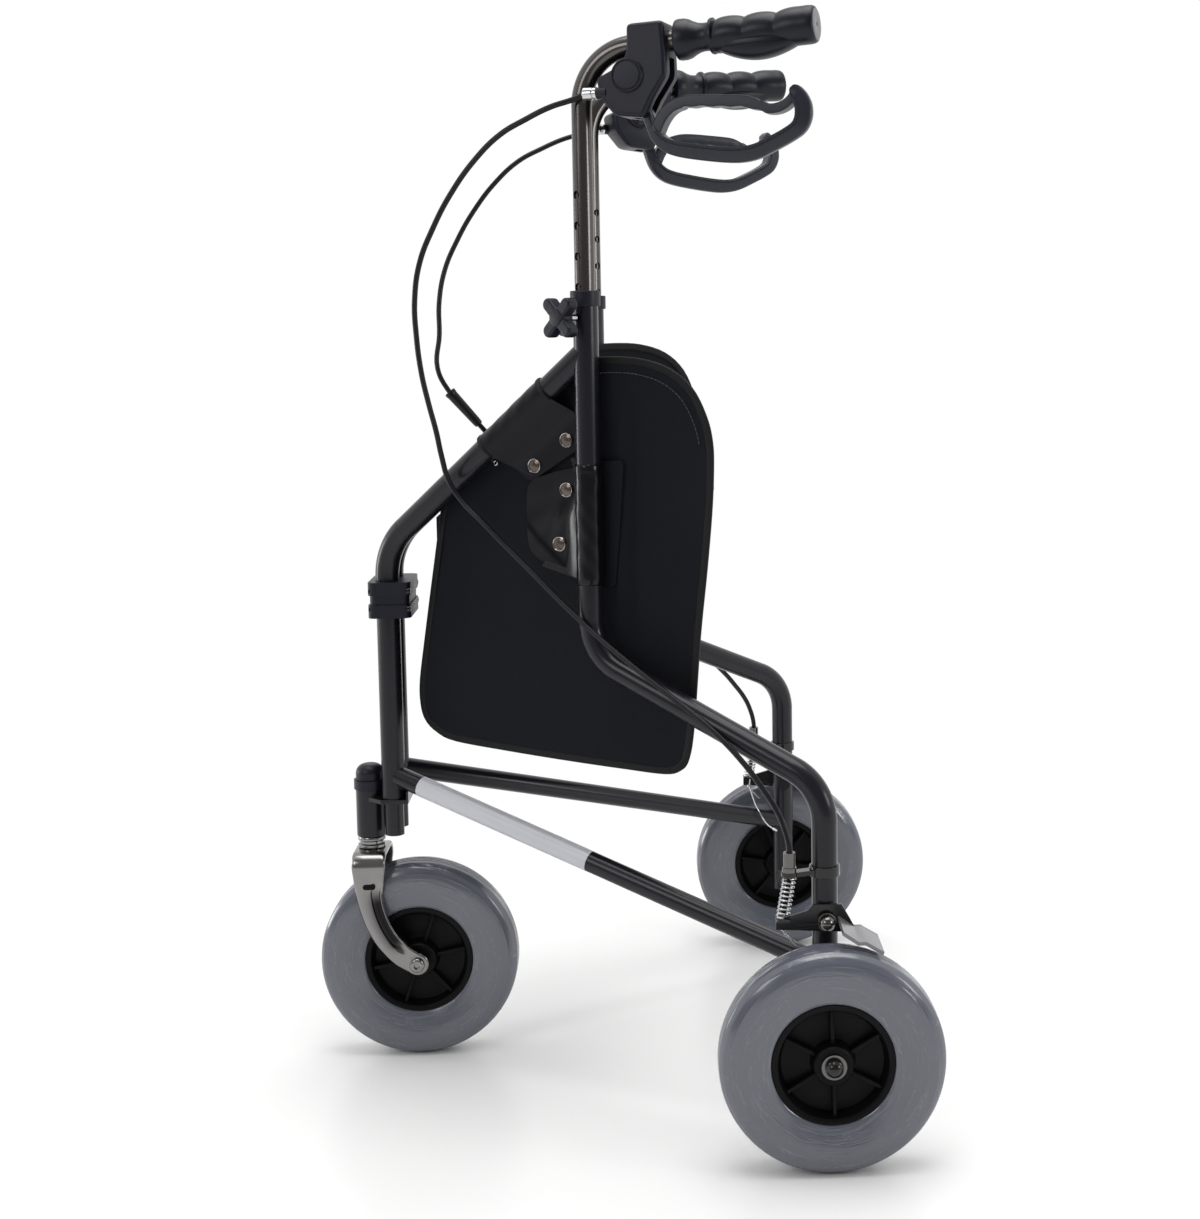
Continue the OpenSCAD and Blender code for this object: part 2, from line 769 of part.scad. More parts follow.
module front_axle() {
    fork_out = fork_half + fork_t;
    color(bright) translate([0, front_y, wheel_r]) {
        along_x(2 * fork_out, front_axle_d / 2);
        for (s = [-1, 1]) {
            translate([s * (fork_out + fork_t / 2), 0, 0])
                along_x(fork_t, front_axle_d * 0.7);
            translate([s * (fork_half + boss_w / 2 + face_gap) / 2, 0, 0])
                along_x(fork_half - boss_w / 2 - face_gap, front_axle_d * 0.8);
        }
    }
}

module front_wheel_place() {
    translate([0, front_y, wheel_r]) children();
}

module rear_wheel_place() {
    translate([rear_x, leg_y, wheel_r]) children();
}

module front_tyre() {
    color(rubber) front_wheel_place() tyre_shape();
}

module front_hub() {
    color(black) front_wheel_place() hub_shape(front_axle_d);
}

module front_bearings() {
    color(bright) front_wheel_place() bearing_shape(front_axle_d);
}

module front_tube_side() {
    path = [[0, foot_z], [0, front_corner_z], [upright_s, join_z]];
    color(steel) left_place() difference() {
        bent_tube(path, front_bend_r, tube_r, tube_wall);
        rod([upright_s, join_z - tube_d * 3], [upright_s, join_z + tube_d * 3],
            tube_r + weld_gap);
    }
}

module knob_axis_place(z) {
    translate([upright_x, upright_y, z]) rotate([0, 0, knob_turn]) rotate([0, 90, 0]) children();
}

module lug_outline() {
    translate([-stay_reach, 0]) circle(d = lug_w);
    translate([-stay_reach, -lug_w / 2]) square([stay_reach, lug_w]);
}

module rear_tube_side() {
    path = [[upright_s, upright_top_z], [upright_s, upright_corner_z], [leg_s, leg_corner_z],
        [leg_s, wheel_r - leg_below]];
    lug_z = stay_z + stay_t + stay_gap / 2;
    color(steel) difference() {
        union() {
            left_place() bent_tube(path, rear_bend_r, tube_r, tube_wall);
            left_place() translate([0, upright_s, 0]) difference() {
                union() {
                    for (z = [lug_z - lug_room / 2 - lug_t, lug_z + lug_room / 2]) {
                        translate([0, 0, z]) linear_extrude(height = lug_t) lug_outline();
                    }
                    translate([-stay_reach, 0, lug_z - lug_room / 2 - lug_t])
                        cylinder(d = stay_pin_d, h = lug_room + 2 * lug_t);
                }
                translate([0, 0, lug_z - lug_room])
                    cylinder(r = tube_r - tube_wall / 2, h = 2 * lug_room);
            }
        }
        knob_axis_place(knob_z) cylinder(d = knob_bolt_d + 2 * face_gap, h = tube_d);
        translate([leg_x, leg_y, wheel_r]) along_x(2 * tube_d, axle_d / 2);
        translate([leg_x, leg_y, arm_pivot_z]) along_x(2 * tube_d, arm_bolt_d / 2);
    }
}

module brace_side() {
    color(steel) left_place() difference() {
        rod([0, brace_front_z], [leg_s, brace_rear_z], brace_r);
        rod([0, brace_front_z], [leg_s, brace_rear_z], brace_r - tube_wall);
        rod([0, brace_front_z - tube_d * 2], [0, brace_front_z + tube_d * 2], tube_r + weld_gap);
        rod([leg_s, brace_rear_z - tube_d * 2], [leg_s, brace_rear_z + tube_d * 2],
            tube_r + weld_gap);
    }
}

module collar_side() {
    color(black) translate([upright_x, upright_y, 0]) difference() {
        translate([0, 0, upright_top_z - collar_down])
            cylinder(d = collar_d, h = collar_down + collar_up);
        translate([0, 0, upright_top_z - collar_down - overrun])
            cylinder(r = tube_r, h = collar_down + overrun);
        translate([0, 0, upright_top_z - overrun])
            cylinder(r = handle_r + face_gap, h = collar_up + 2 * overrun);
    }
}

module knob_side() {
    color(black) knob_axis_place(knob_z) {
        translate([0, 0, knob_reach]) {
            cylinder(r = knob_hub_r, h = knob_t);
            for (i = [0:3]) {
                rotate([0, 0, 45 + 90 * i]) {
                    translate([0, -knob_arm_r, 0]) cube([knob_arm, 2 * knob_arm_r, knob_t]);
                    translate([knob_arm, 0, 0]) cylinder(r = knob_arm_r, h = knob_t);
                }
            }
        }
        translate([0, 0, handle_r + face_gap])
            cylinder(d = knob_bolt_d, h = knob_reach - handle_r);
    }
}

module axle_side() {
    washer = tube_wall * 0.75;
    hub_face = wheel_out + boss_w / 2 + face_gap;
    spacer_end = wheel_out - boss_w / 2 - face_gap;
    nut = axle_d * 0.3;
    color(bright) translate([leg_x, leg_y, wheel_r]) {
        translate([(hub_face + washer - tube_r) / 2, 0, 0])
            along_x(hub_face + washer + tube_r + nut, axle_d / 2);
        translate([-tube_r - nut / 2, 0, 0]) along_x(nut, axle_d * 0.75);
        translate([(tube_r + spacer_end) / 2, 0, 0])
            along_x(spacer_end - tube_r, axle_d * 0.75);
        translate([hub_face + washer / 2, 0, 0]) along_x(washer, axle_d * 0.88);
        translate([hub_face + washer + nut / 2, 0, 0]) along_x(nut, axle_d * 0.6);
        translate([hub_face + washer + nut * 0.3, 0, 0]) sphere(r = axle_d * 0.56);
    }
}

module tyre_side() {
    color(rubber) rear_wheel_place() tyre_shape();
}

module hub_side() {
    color(black) rear_wheel_place() hub_shape(axle_d);
}

module bearings_side() {
    color(bright) rear_wheel_place() bearing_shape(axle_d);
}

module handle_tube_side() {
    last = grip_end - 2 * grip_end_r / 4;
    path = [[0, handle_foot_z], [0, handle_z], [last, handle_z + last * rise_slope]];
    color(steel) difference() {
        handle_place() bent_tube(path, handle_bend_r, handle_r, handle_wall);
        for (i = [0:hole_count]) {
            knob_axis_place(knob_z + i * hole_pitch)
                cylinder(d = hole_d, h = 2 * handle_d, center = true);
        }
    }
}

module grip_side() {
    flange = grip_neck_r / 3;
    neck = grip_start + grip_collar_r * 1.9;
    color(black) difference() {
        union() {
            grip_axis() {
                translate([0, 0, grip_start]) cylinder(r = grip_collar_r, h = grip_collar_r * 0.9);
                translate([0, 0, grip_start]) cylinder(r = grip_neck_r, h = neck - grip_start);
                translate([0, 0, neck - flange]) cylinder(r = grip_r, h = grip_end - neck);
                translate([0, 0, grip_end - grip_end_r * 1.7])
                    cylinder(r = grip_end_r, h = grip_end_r * 1.7);
                translate([0, 0, (neck + grip_end - grip_end_r) / 2]) intersection() {
                    translate([0, palm_drop - palm_r, 0]) sphere(r = palm_r, $fn = 96);
                    translate([-palm_w / 2, 0, -palm_r]) cube([palm_w, palm_r, 2 * palm_r]);
                }
            }
        }
        grip_axis() translate([0, 0, grip_start - overrun])
            cylinder(r = handle_r, h = grip_end - grip_end_r / 2 - grip_start + overrun);
    }
}

module brake_housing_side() {
    color(black) handle_place() {
        difference() {
            union() {
                slab(housing_t) polygon(housing_outline);
                translate([nipple_out, housing_outline[7][0], nipple_z])
                    rotate([90, 0, 0]) cylinder(d = nipple_d, h = nipple_l);
                translate([0, lever_pivot_s, lever_pivot_z])
                    along_x(housing_t + 2 * pivot_disc_t, pivot_disc_d / 2);
            }
            slab(lever_slot) polygon(slot_outline);
            translate([nipple_out, housing_outline[7][0] - nipple_l + nipple_deep, nipple_z])
                rotate([90, 0, 0]) cylinder(r = cable_d / 2 + 2 * face_gap, h = nipple_l);
            translate([0, 0, handle_z]) rotate([handle_rise - 90, 0, 0])
                cylinder(r = handle_r, h = grip_start + overrun);
            translate([0, lever_pivot_s, lever_pivot_z])
                along_x(lever_slot, lever_root_r + 2 * face_gap);
        }
        translate([0, lever_pivot_s, lever_pivot_z])
            along_x(housing_t - 2 * face_gap, lever_pivot_d / 2);
    }
}

module brake_lever_side() {
    color(black) handle_place() difference() {
        union() {
            slab(lever_w) stroke(loop_line, lever_bar);
            slab(lever_root_t) stroke(root_line, lever_bar * 1.2);
            translate([0, lever_pivot_s, lever_pivot_z]) along_x(lever_root_t, lever_root_r);
        }
        translate([0, lever_pivot_s, lever_pivot_z])
            along_x(lever_root_t + overrun, lever_pivot_d / 2 + run_fit);
    }
}

module brake_arm_side() {
    color(black) translate([leg_x, leg_y, arm_pivot_z]) difference() {
        union() {
            translate([arm_x + arm_t / 2, 0, 0]) slab(arm_t) polygon(arm_outline);
            translate([arm_x + shoe_w / 2, 0, 0]) slab(shoe_w)
                polygon(concat(shoe_line, [for (i = [len(shoe_line) - 1:-1:0])
                    shoe_line[i] + [shoe_t / 3, shoe_t]]));
            translate([arm_x - spring_d / 2 + arm_t, seat_box[0][0], seat_box[1][0]])
                cube([spring_d, seat_box[0][1] - seat_box[0][0],
                    seat_box[1][1] - seat_box[1][0]]);
        }
        translate([arm_x + arm_t / 2, 0, 0]) along_x(arm_t + overrun, arm_bolt_d / 2 + run_fit);
    }
}

module cable_bracket_side() {
    color(black) translate([leg_x, leg_y, bracket_z]) difference() {
        union() {
            translate([0, 0, (bracket_t - band_h) / 2])
                cylinder(r = tube_r + band_t, h = band_h);
            translate([barrel_out, -barrel_ahead, 0]) cylinder(r = barrel_d * 0.7, h = bracket_t);
            linear_extrude(height = bracket_t) stroke([[0, 0], [barrel_out, -barrel_ahead]],
                barrel_d);
        }
        translate([0, 0, -band_h]) cylinder(r = tube_r, h = 3 * band_h);
        translate([barrel_out, -barrel_ahead, -overrun])
            cylinder(r = barrel_d * 0.3, h = bracket_t + 2 * overrun);
    }
}

module brake_fittings_side() {
    nut = arm_bolt_d * 0.6;
    dome = arm_bolt_d * 0.85;
    color(bright) translate([leg_x, leg_y, 0]) {
        translate([barrel_out, -barrel_ahead, bracket_z + bracket_t]) difference() {
            union() {
                cylinder(r = barrel_d * 0.6, h = bracket_t);
                cylinder(d = barrel_d, h = barrel_l);
            }
            translate([0, 0, -overrun]) cylinder(d = wire_d + 2 * face_gap, h = barrel_l + overrun);
            translate([0, 0, barrel_l / 2])
                cylinder(r = cable_d / 2 + 2 * face_gap, h = barrel_l);
        }
        translate([0, 0, arm_pivot_z]) {
            translate([(arm_x + arm_t + nut - tube_r - nut) / 2, 0, 0])
                along_x(arm_x + arm_t + 2 * nut + tube_r, arm_bolt_d / 2);
            translate([-tube_r - nut / 2, 0, 0]) along_x(nut, arm_bolt_d * 0.9);
            translate([arm_x + arm_t + face_gap + nut / 2, 0, 0]) along_x(nut, arm_bolt_d);
            translate([arm_x + arm_t + face_gap + dome, 0, 0]) sphere(r = dome);
        }
    }
}

function spring_top() = [barrel_out, -barrel_ahead, bracket_z - face_gap / 2 - spring_wire / 2];
function spring_low() = [arm_x, (seat_box[0][0] + seat_box[0][1]) / 2,
    arm_pivot_z + seat_box[1][1] + spring_wire / 2 + face_gap];
function coil_point(t) = spring_top() + t * (spring_low() - spring_top())
    + (spring_d - spring_wire) / 2 * [cos(360 * spring_curls * t), sin(360 * spring_curls * t), 0];

// closed tube of small flat faces through a row of points
module swept(pts, r, sides) {
    n = len(pts);
    dirs = [for (i = [0:n - 1]) toward(pts[max(i - 1, 0)], pts[min(i + 1, n - 1)])];
    ups = sweep_ups(dirs);
    rings = [for (i = [0:n - 1], k = [0:sides - 1])
        pts[i] + r * (cos(360 * k / sides) * ups[i]
        + sin(360 * k / sides) * cross(dirs[i], ups[i]))];
    faces = concat(
        [[for (k = [0:sides - 1]) k]],
        [for (i = [0:n - 2], k = [0:sides - 1]) let (a = i * sides, b = a + sides,
            m = (k + 1) % sides) each [[a + k, b + k, b + m], [a + k, b + m, a + m]]],
        [[for (k = [0:sides - 1]) n * sides - 1 - k]]);
    polyhedron(rings, faces);
}

// carried-along side directions for a swept tube
function sweep_ups(dirs) = [for (i = 0, u = side_of(dirs[0]); i < len(dirs);
    i = i + 1, u = i < len(dirs) ? unit(u - (u * dirs[i]) * dirs[i]) : u) u];
function unit(v) = v / norm(v);
function side_of(d) = unit(cross(d, abs(d[2]) < 0.9 ? [0, 0, 1] : [1, 0, 0]));

// least distance between curls of the spring, wire surface to wire surface
coil = [for (i = [0:spring_curls * spring_rings]) coil_point(i / (spring_curls * spring_rings))];
coil_gap = min([for (i = [0:len(coil) - 1], j = [i + spring_rings - 2:1:min(len(coil) - 1,
    i + spring_rings + 2)]) norm(coil[i] - coil[j])]) - spring_wire;
echo(spring_self_gap = coil_gap);

module brake_spring_side() {
    color(bright) translate([leg_x, leg_y, 0]) swept(coil, spring_wire / 2, spring_sides);
}

module brake_wire_side() {
    top = spring_top() - [0, 0, spring_wire];
    low = [arm_x + arm_t / 2 - spring_wire * 2, tail_line[0][0], arm_pivot_z + tail_line[0][1]];
    color(bright) translate([leg_x, leg_y, 0]) {
        rod3(top, low, wire_d / 2);
        translate(low) sphere(r = wire_d * 1.3);
        translate([low[0], tail_line[1][0], arm_pivot_z + tail_line[1][1]])
            sphere(r = wire_d * 0.6);
        for (i = [0:len(tail_line) - 2]) {
            rod3([low[0], tail_line[i][0], arm_pivot_z + tail_line[i][1]],
                [low[0], tail_line[i + 1][0], arm_pivot_z + tail_line[i + 1][1]], wire_d / 2);
        }
    }
}

module brake_cable_side(route) {
    color(black) swept(finer(route), cable_d / 2, ring_sides);
}

module right_cable_sleeve() {
    p = cable_tucked[sleeve_places[0]];
    q = cable_tucked[sleeve_places[1]];
    color(black) right_side() difference() {
        rod3(p, q, cable_d * 1.1);
        rod3(p - toward(p, q) * overrun, q + toward(p, q) * overrun, cable_d / 2 + 3 * face_gap);
    }
}

module stay_slot() {
    lug_z = stay_z + stay_t + stay_gap / 2;
    translate([-2 * stay_reach, upright_s - lug_w / 2 - 2 * face_gap,
        lug_z - lug_room / 2 - lug_t - 2 * face_gap])
        cube([2 * stay_reach - tube_r / 2, lug_w + 4 * face_gap,
            lug_room + 2 * lug_t + 4 * face_gap]);
}

module bag_panel_side() {
    color(cloth) left_place() difference() {
        translate([-panel_x - panel_t / 2, 0, 0]) slab(panel_t)
            rounded(panel_outline, [bag_low_r, bag_low_r, bag_top_r, bag_low_r / 4, bag_low_r / 4],
                seam_step);
        stay_slot();
    }
}

module bag_straps_side() {
    flap_x = -tube_r - strap_t / 2;
    line = toward([0, front_corner_z], [upright_s, join_z]);
    slope = line[1] / line[0];
    wrap_from = [slope_wrap[0], front_corner_z + slope_wrap[0] * slope];
    wrap_to = [slope_wrap[1], front_corner_z + slope_wrap[1] * slope];
    color(cloth) left_place() {
        difference() {
            union() {
                rod(wrap_from, wrap_to, tube_r + strap_t);
                translate([flap_x, 0, 0]) slab(strap_t) polygon(slope_flap);
            }
            rod(wrap_from - line * overrun, wrap_to + line * overrun, tube_r);
            rod([upright_s, join_z - tube_d * 6], [upright_s, join_z], tube_r + 2 * strap_t);
        }
        difference() {
            union() {
                rod([upright_s, upright_wrap[0]], [upright_s, upright_wrap[1]], tube_r + strap_t);
                translate([flap_x, 0, 0]) slab(strap_t) polygon(upright_flap);
            }
            rod([upright_s, upright_wrap[0] - overrun], [upright_s, upright_wrap[1] + overrun],
                tube_r);
            stay_slot();
        }
        for (p = snap_places) {
            translate([flap_x + strap_t / 2 + snap_t / 2, p[0], p[1]])
                along_x(snap_t, snap_d / 2);
        }
    }
}

module bag_gusset() {
    sn = sin(open_angle);
    cs = cos(open_angle);
    side_x = panel_x + panel_t + strap_gap;
    low_s = panel_outline[1][0] - bag_low_r;
    rear_x_low = hinge_half + low_s * sn - side_x * cs;
    rear_y_low = hinge_y + low_s * cs + side_x * sn;
    front_s = panel_outline[0][0] + bag_low_r;
    front_x = hinge_half + front_s * sn - side_x * cs;
    front_y_low = hinge_y + front_s * cs + side_x * sn;
    floor_z = panel_outline[0][1] + bag_low_r / 2;
    wall_top = stay_z - bag_low_r;
    color(cloth) {
        translate([0, 0, floor_z]) linear_extrude(height = gusset_t)
            polygon([[-rear_x_low, rear_y_low], [rear_x_low, rear_y_low],
                [front_x, front_y_low], [-front_x, front_y_low]]);
        translate([gusset_t - rear_x_low, rear_y_low - gusset_t, floor_z])
            cube([2 * (rear_x_low - gusset_t), gusset_t, wall_top - floor_z]);
        translate([-front_x, front_y_low, floor_z])
            cube([2 * front_x, gusset_t, wall_top - floor_z]);
    }
}

// pivot of the left stay link, and the knuckle both links meet at
stay_pivot = [upright_x - stay_reach * cos(open_angle), upright_y + stay_reach * sin(open_angle)];
stay_knuckle = [0, hinge_y + stay_back];

module stay_outline(eye) {
    difference() {
        union() {
            stroke([stay_pivot, stay_knuckle], stay_w);
            translate(stay_knuckle) circle(r = stay_w / 2 + stay_play);
        }
        translate(stay_pivot) circle(r = stay_pin_d / 2 + run_fit);
        translate(stay_knuckle) circle(r = eye);
    }
}

module left_stay_link() {
    color(steel) {
        translate([0, 0, stay_z]) linear_extrude(height = stay_t)
            stay_outline(stay_pin_d / 2);
        translate([stay_knuckle[0], stay_knuckle[1], stay_z])
            cylinder(d = stay_pin_d, h = 2 * stay_t + 2 * stay_gap + stay_t / 2);
        translate([stay_knuckle[0], stay_knuckle[1], stay_z + 2 * stay_t + 2 * stay_gap])
            cylinder(r = stay_w / 2 + stay_play * 0.75, h = stay_t / 2);
    }
}

module right_stay_link() {
    color(steel) right_side() translate([0, 0, stay_z + stay_t + stay_gap])
        linear_extrude(height = stay_t) stay_outline(stay_pin_d / 2 + stay_play);
}

module left_front_tube() { front_tube_side(); }
module right_front_tube() { right_side() front_tube_side(); }
module left_rear_tube() { rear_tube_side(); }
module right_rear_tube() { right_side() rear_tube_side(); }
module left_brace() { brace_side(); }
module right_brace() { right_side() brace_side(); }
module left_collar() { collar_side(); }
module right_collar() { right_side() collar_side(); }
module left_knob() { knob_side(); }
module right_knob() { right_side() knob_side(); }
module left_axle() { axle_side(); }
module right_axle() { right_side() axle_side(); }
module left_tyre() { tyre_side(); }
module right_tyre() { right_side() tyre_side(); }
module left_hub() { hub_side(); }
module right_hub() { right_side() hub_side(); }
module left_bearings() { bearings_side(); }
module right_bearings() { right_side() bearings_side(); }
module left_handle_tube() { handle_tube_side(); }
module right_handle_tube() { right_side() handle_tube_side(); }
module left_grip() { grip_side(); }
module right_grip() { right_side() grip_side(); }
module left_brake_housing() { brake_housing_side(); }
module right_brake_housing() { right_side() brake_housing_side(); }
module left_brake_lever() { brake_lever_side(); }
module right_brake_lever() { right_side() brake_lever_side(); }
module left_brake_arm() { brake_arm_side(); }
module right_brake_arm() { right_side() brake_arm_side(); }
module left_cable_bracket() { cable_bracket_side(); }
module right_cable_bracket() { right_side() cable_bracket_side(); }
module left_brake_fittings() { brake_fittings_side(); }
module right_brake_fittings() { right_side() brake_fittings_side(); }
module left_brake_spring() { brake_spring_side(); }
module right_brake_spring() { right_side() brake_spring_side(); }
module left_brake_wire() { brake_wire_side(); }
module right_brake_wire() { right_side() brake_wire_side(); }
module left_brake_cable() { brake_cable_side(cable_route); }
module right_brake_cable() { right_side() brake_cable_side(right_route); }
module left_bag_panel() { bag_panel_side(); }
module right_bag_panel() { right_side() bag_panel_side(); }
module left_bag_straps() { bag_straps_side(); }
module right_bag_straps() { right_side() bag_straps_side(); }

head_tube();
head_cap();
head_bushes();
hinge_pins();
hinge_block_front();
hinge_block_rear();
hinge_block_screws();
caster_stem();
caster_fork();
front_axle();
front_tyre();
front_hub();
front_bearings();
bag_gusset();
left_front_tube();
right_front_tube();
left_rear_tube();
right_rear_tube();
left_brace();
right_brace();
left_collar();
right_collar();
left_knob();
right_knob();
left_axle();
right_axle();
left_tyre();
right_tyre();
left_hub();
right_hub();
left_bearings();
right_bearings();
left_handle_tube();
right_handle_tube();
left_grip();
right_grip();
left_brake_housing();
right_brake_housing();
left_brake_lever();
right_brake_lever();
left_brake_arm();
right_brake_arm();
left_cable_bracket();
right_cable_bracket();
left_brake_fittings();
right_brake_fittings();
left_brake_spring();
right_brake_spring();
left_brake_wire();
right_brake_wire();
left_brake_cable();
right_brake_cable();
right_cable_sleeve();
left_bag_panel();
right_bag_panel();
left_bag_straps();
right_bag_straps();
left_stay_link();
right_stay_link();
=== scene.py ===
"""Dressed three wheel rollator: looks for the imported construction, in the same frame, in metres."""
import logging
import math
from dataclasses import dataclass, replace
from enum import Enum
from typing import Callable, Iterable, Sequence, Union

import bpy
from mathutils import Matrix, Vector

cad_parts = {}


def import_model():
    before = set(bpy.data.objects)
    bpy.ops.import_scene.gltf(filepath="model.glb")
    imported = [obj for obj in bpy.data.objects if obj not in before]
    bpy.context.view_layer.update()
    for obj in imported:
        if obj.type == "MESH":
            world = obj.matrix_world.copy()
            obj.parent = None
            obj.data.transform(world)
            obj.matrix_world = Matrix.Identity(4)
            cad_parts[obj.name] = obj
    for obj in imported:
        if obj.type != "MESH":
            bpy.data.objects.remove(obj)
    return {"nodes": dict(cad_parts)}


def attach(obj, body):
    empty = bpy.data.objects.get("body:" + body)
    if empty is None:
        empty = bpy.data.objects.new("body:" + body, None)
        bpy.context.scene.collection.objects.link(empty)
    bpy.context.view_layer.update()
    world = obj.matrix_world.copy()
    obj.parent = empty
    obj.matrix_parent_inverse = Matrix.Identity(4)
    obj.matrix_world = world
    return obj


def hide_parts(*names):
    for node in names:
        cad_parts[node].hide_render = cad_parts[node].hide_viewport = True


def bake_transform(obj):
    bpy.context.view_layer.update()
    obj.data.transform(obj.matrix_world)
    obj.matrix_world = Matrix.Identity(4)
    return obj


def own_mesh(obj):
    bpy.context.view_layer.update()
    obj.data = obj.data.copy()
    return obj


log = logging.getLogger("rollator")
MM = 0.001
Point2 = tuple[float, float]
Point3 = tuple[float, float, float]
Piece = bpy.types.Object
Socket = bpy.types.NodeSocket
Feed = Union[Socket, float, Sequence[float]]


def turn_by(degrees: float, axis: str) -> Matrix:
    """Turn about an axis through the origin."""
    return Matrix.Rotation(math.radians(degrees), 4, axis)


def shift_by(x: float, y: float, z: float) -> Matrix:
    """Shift by millimetres."""
    return Matrix.Translation((x * MM, y * MM, z * MM))


class Side(Enum):
    """The user's left or right hand side."""

    LEFT = 1
    RIGHT = -1

    @property
    def word(self) -> str:
        """Name used in front of a piece or body."""
        return "left" if self is Side.LEFT else "right"


class Ends(Enum):
    """How a swept bar finishes."""

    OPEN = "open"
    CAPPED = "capped"
    RING = "ring"


@dataclass(frozen=True)
class Layout:
    """Main places of the frame, in millimetres, as the construction has them."""

    open_angle: float = 29.4
    hinge_half: float = 16.0
    hinge_ahead: float = 19.5
    stem_ahead: float = 24.5
    upright_s: float = 224.0
    leg_s: float = 451.0
    wheel_out: float = 53.0
    wheel_r: float = 95.0
    tube_r: float = 11.1
    brace_r: float = 9.5
    handle_angle: float = 20.0
    handle_rise: float = 3.2
    handle_z: float = 940.5

    @property
    def hinge_y(self) -> float:
        """Distance of the front tubes from the middle of the object."""
        return -(self.hinge_ahead + self.leg_s * math.cos(math.radians(self.open_angle))) / 2

    @property
    def leg(self) -> Point2:
        """Plan place of the left rear leg."""
        a = math.radians(self.open_angle)
        return (self.hinge_half + self.leg_s * math.sin(a), self.hinge_y + self.leg_s * math.cos(a))

    def side_matrix(self) -> Matrix:
        """Left side frame's own axes: X outwards, Y back along the frame, Z up."""
        return shift_by(self.hinge_half, self.hinge_y, 0) @ turn_by(-self.open_angle, "Z")

    def handle_matrix(self) -> Matrix:
        """Left handle's own axes: X outwards, Y back along the handle, Z up, from the upright."""
        foot = self.side_matrix() @ Vector((0, self.upright_s * MM, 0))
        return Matrix.Translation(foot) @ turn_by(-self.handle_angle, "Z")

    def grip_matrix(self) -> Matrix:
        """Left grip's own axes: Z along the grip, Y down, X outwards."""
        return self.handle_matrix() @ shift_by(0, 0, self.handle_z) @ turn_by(self.handle_rise - 90, "X")


LAYOUT = Layout()
MIRROR = Matrix.Diagonal((-1.0, 1.0, 1.0, 1.0))


def start_clean() -> None:
    """Leaves edit mode and deselects everything."""
    if bpy.context.object and bpy.context.object.mode != "OBJECT":
        bpy.ops.object.mode_set(mode="OBJECT")
    bpy.ops.object.select_all(action="DESELECT")


def take(obj: Piece) -> None:
    """Makes one object the only selected and the active one.

    Args:
        obj: the object to work on.
    """
    start_clean()
    obj.select_set(True)
    bpy.context.view_layer.objects.active = obj


def tidy_normals(obj: Piece, merge: float = 1e-6) -> None:
    """Merges doubles and turns every face outwards.

    Args:
        obj: mesh object.
        merge: distance in metres under which points become one.
    """
    take(obj)
    bpy.ops.object.mode_set(mode="EDIT")
    bpy.ops.mesh.select_all(action="SELECT")
    bpy.ops.mesh.remove_doubles(threshold=merge)
    bpy.ops.mesh.normals_make_consistent(inside=False)
    bpy.ops.object.mode_set(mode="OBJECT")


def smooth(obj: Piece, degrees: float = 35.0) -> None:
    """Shades smooth across edges flatter than the angle."""
    take(obj)
    bpy.ops.object.shade_smooth_by_angle(angle=math.radians(degrees))


def apply_modifiers(obj: Piece) -> None:
    """Applies every modifier in order."""
    take(obj)
    for name in [m.name for m in obj.modifiers]:
        bpy.ops.object.modifier_apply(modifier=name)


def bevel(obj: Piece, width: float, segments: int = 2, degrees: float = 35.0) -> None:
    """Rounds the sharp edges of a mesh for good.

    Args:
        obj: mesh object.
        width: width of the rounding in millimetres.
        segments: faces across the rounding.
        degrees: edges sharper than this are rounded.
    """
    mod = obj.modifiers.new("rounding", "BEVEL")
    mod.width = width * MM
    mod.segments = segments
    mod.limit_method = "ANGLE"
    mod.angle_limit = math.radians(degrees)
    apply_modifiers(obj)


def soften_node(obj: Piece, width: float, segments: int = 2) -> None:
    """Rounds a construction node's edges with live modifiers, leaving its own mesh as it is."""
    weld = obj.modifiers.new("weld", "WELD")
    weld.merge_threshold = 2e-5
    mod = obj.modifiers.new("rounding", "BEVEL")
    mod.width = width * MM
    mod.segments = segments
    mod.limit_method = "ANGLE"
    mod.angle_limit = math.radians(40)
    mod.use_clamp_overlap = True
    mod.harden_normals = False


def even_faces(obj: Piece, live: bool = False) -> None:
    """Lets the large faces rule the shading, so that flat faces look flat between rounded edges.

    Args:
        obj: mesh object, already shaded smooth.
        live: leaves the modifier on, for construction nodes.
    """
    mod = obj.modifiers.new("even_faces", "WEIGHTED_NORMAL")
    mod.keep_sharp = True
    mod.weight = 80
    if not live:
        apply_modifiers(obj)


def drawn_line(name: str, points: Sequence[Point3]) -> Piece:
    """Draws edges from point to point and stays in edit mode with all of them selected.

    Args:
        name: name of the piece.
        points: places in millimetres.

    Returns:
        The new mesh object at the origin.
    """
    start_clean()
    bpy.ops.mesh.primitive_plane_add(size=0.001, location=(0, 0, 0))
    obj = bpy.context.object
    obj.name = name
    bpy.ops.object.mode_set(mode="EDIT")
    bpy.ops.mesh.select_all(action="SELECT")
    bpy.ops.mesh.merge(type="CENTER")
    bpy.ops.transform.translate(value=tuple(v * MM for v in points[0]))
    for before, after in zip(points, points[1:]):
        step = tuple((b - a) * MM for a, b in zip(before, after))
        bpy.ops.mesh.extrude_region_move(TRANSFORM_OT_translate={"value": step})
    bpy.ops.mesh.select_all(action="SELECT")
    return obj


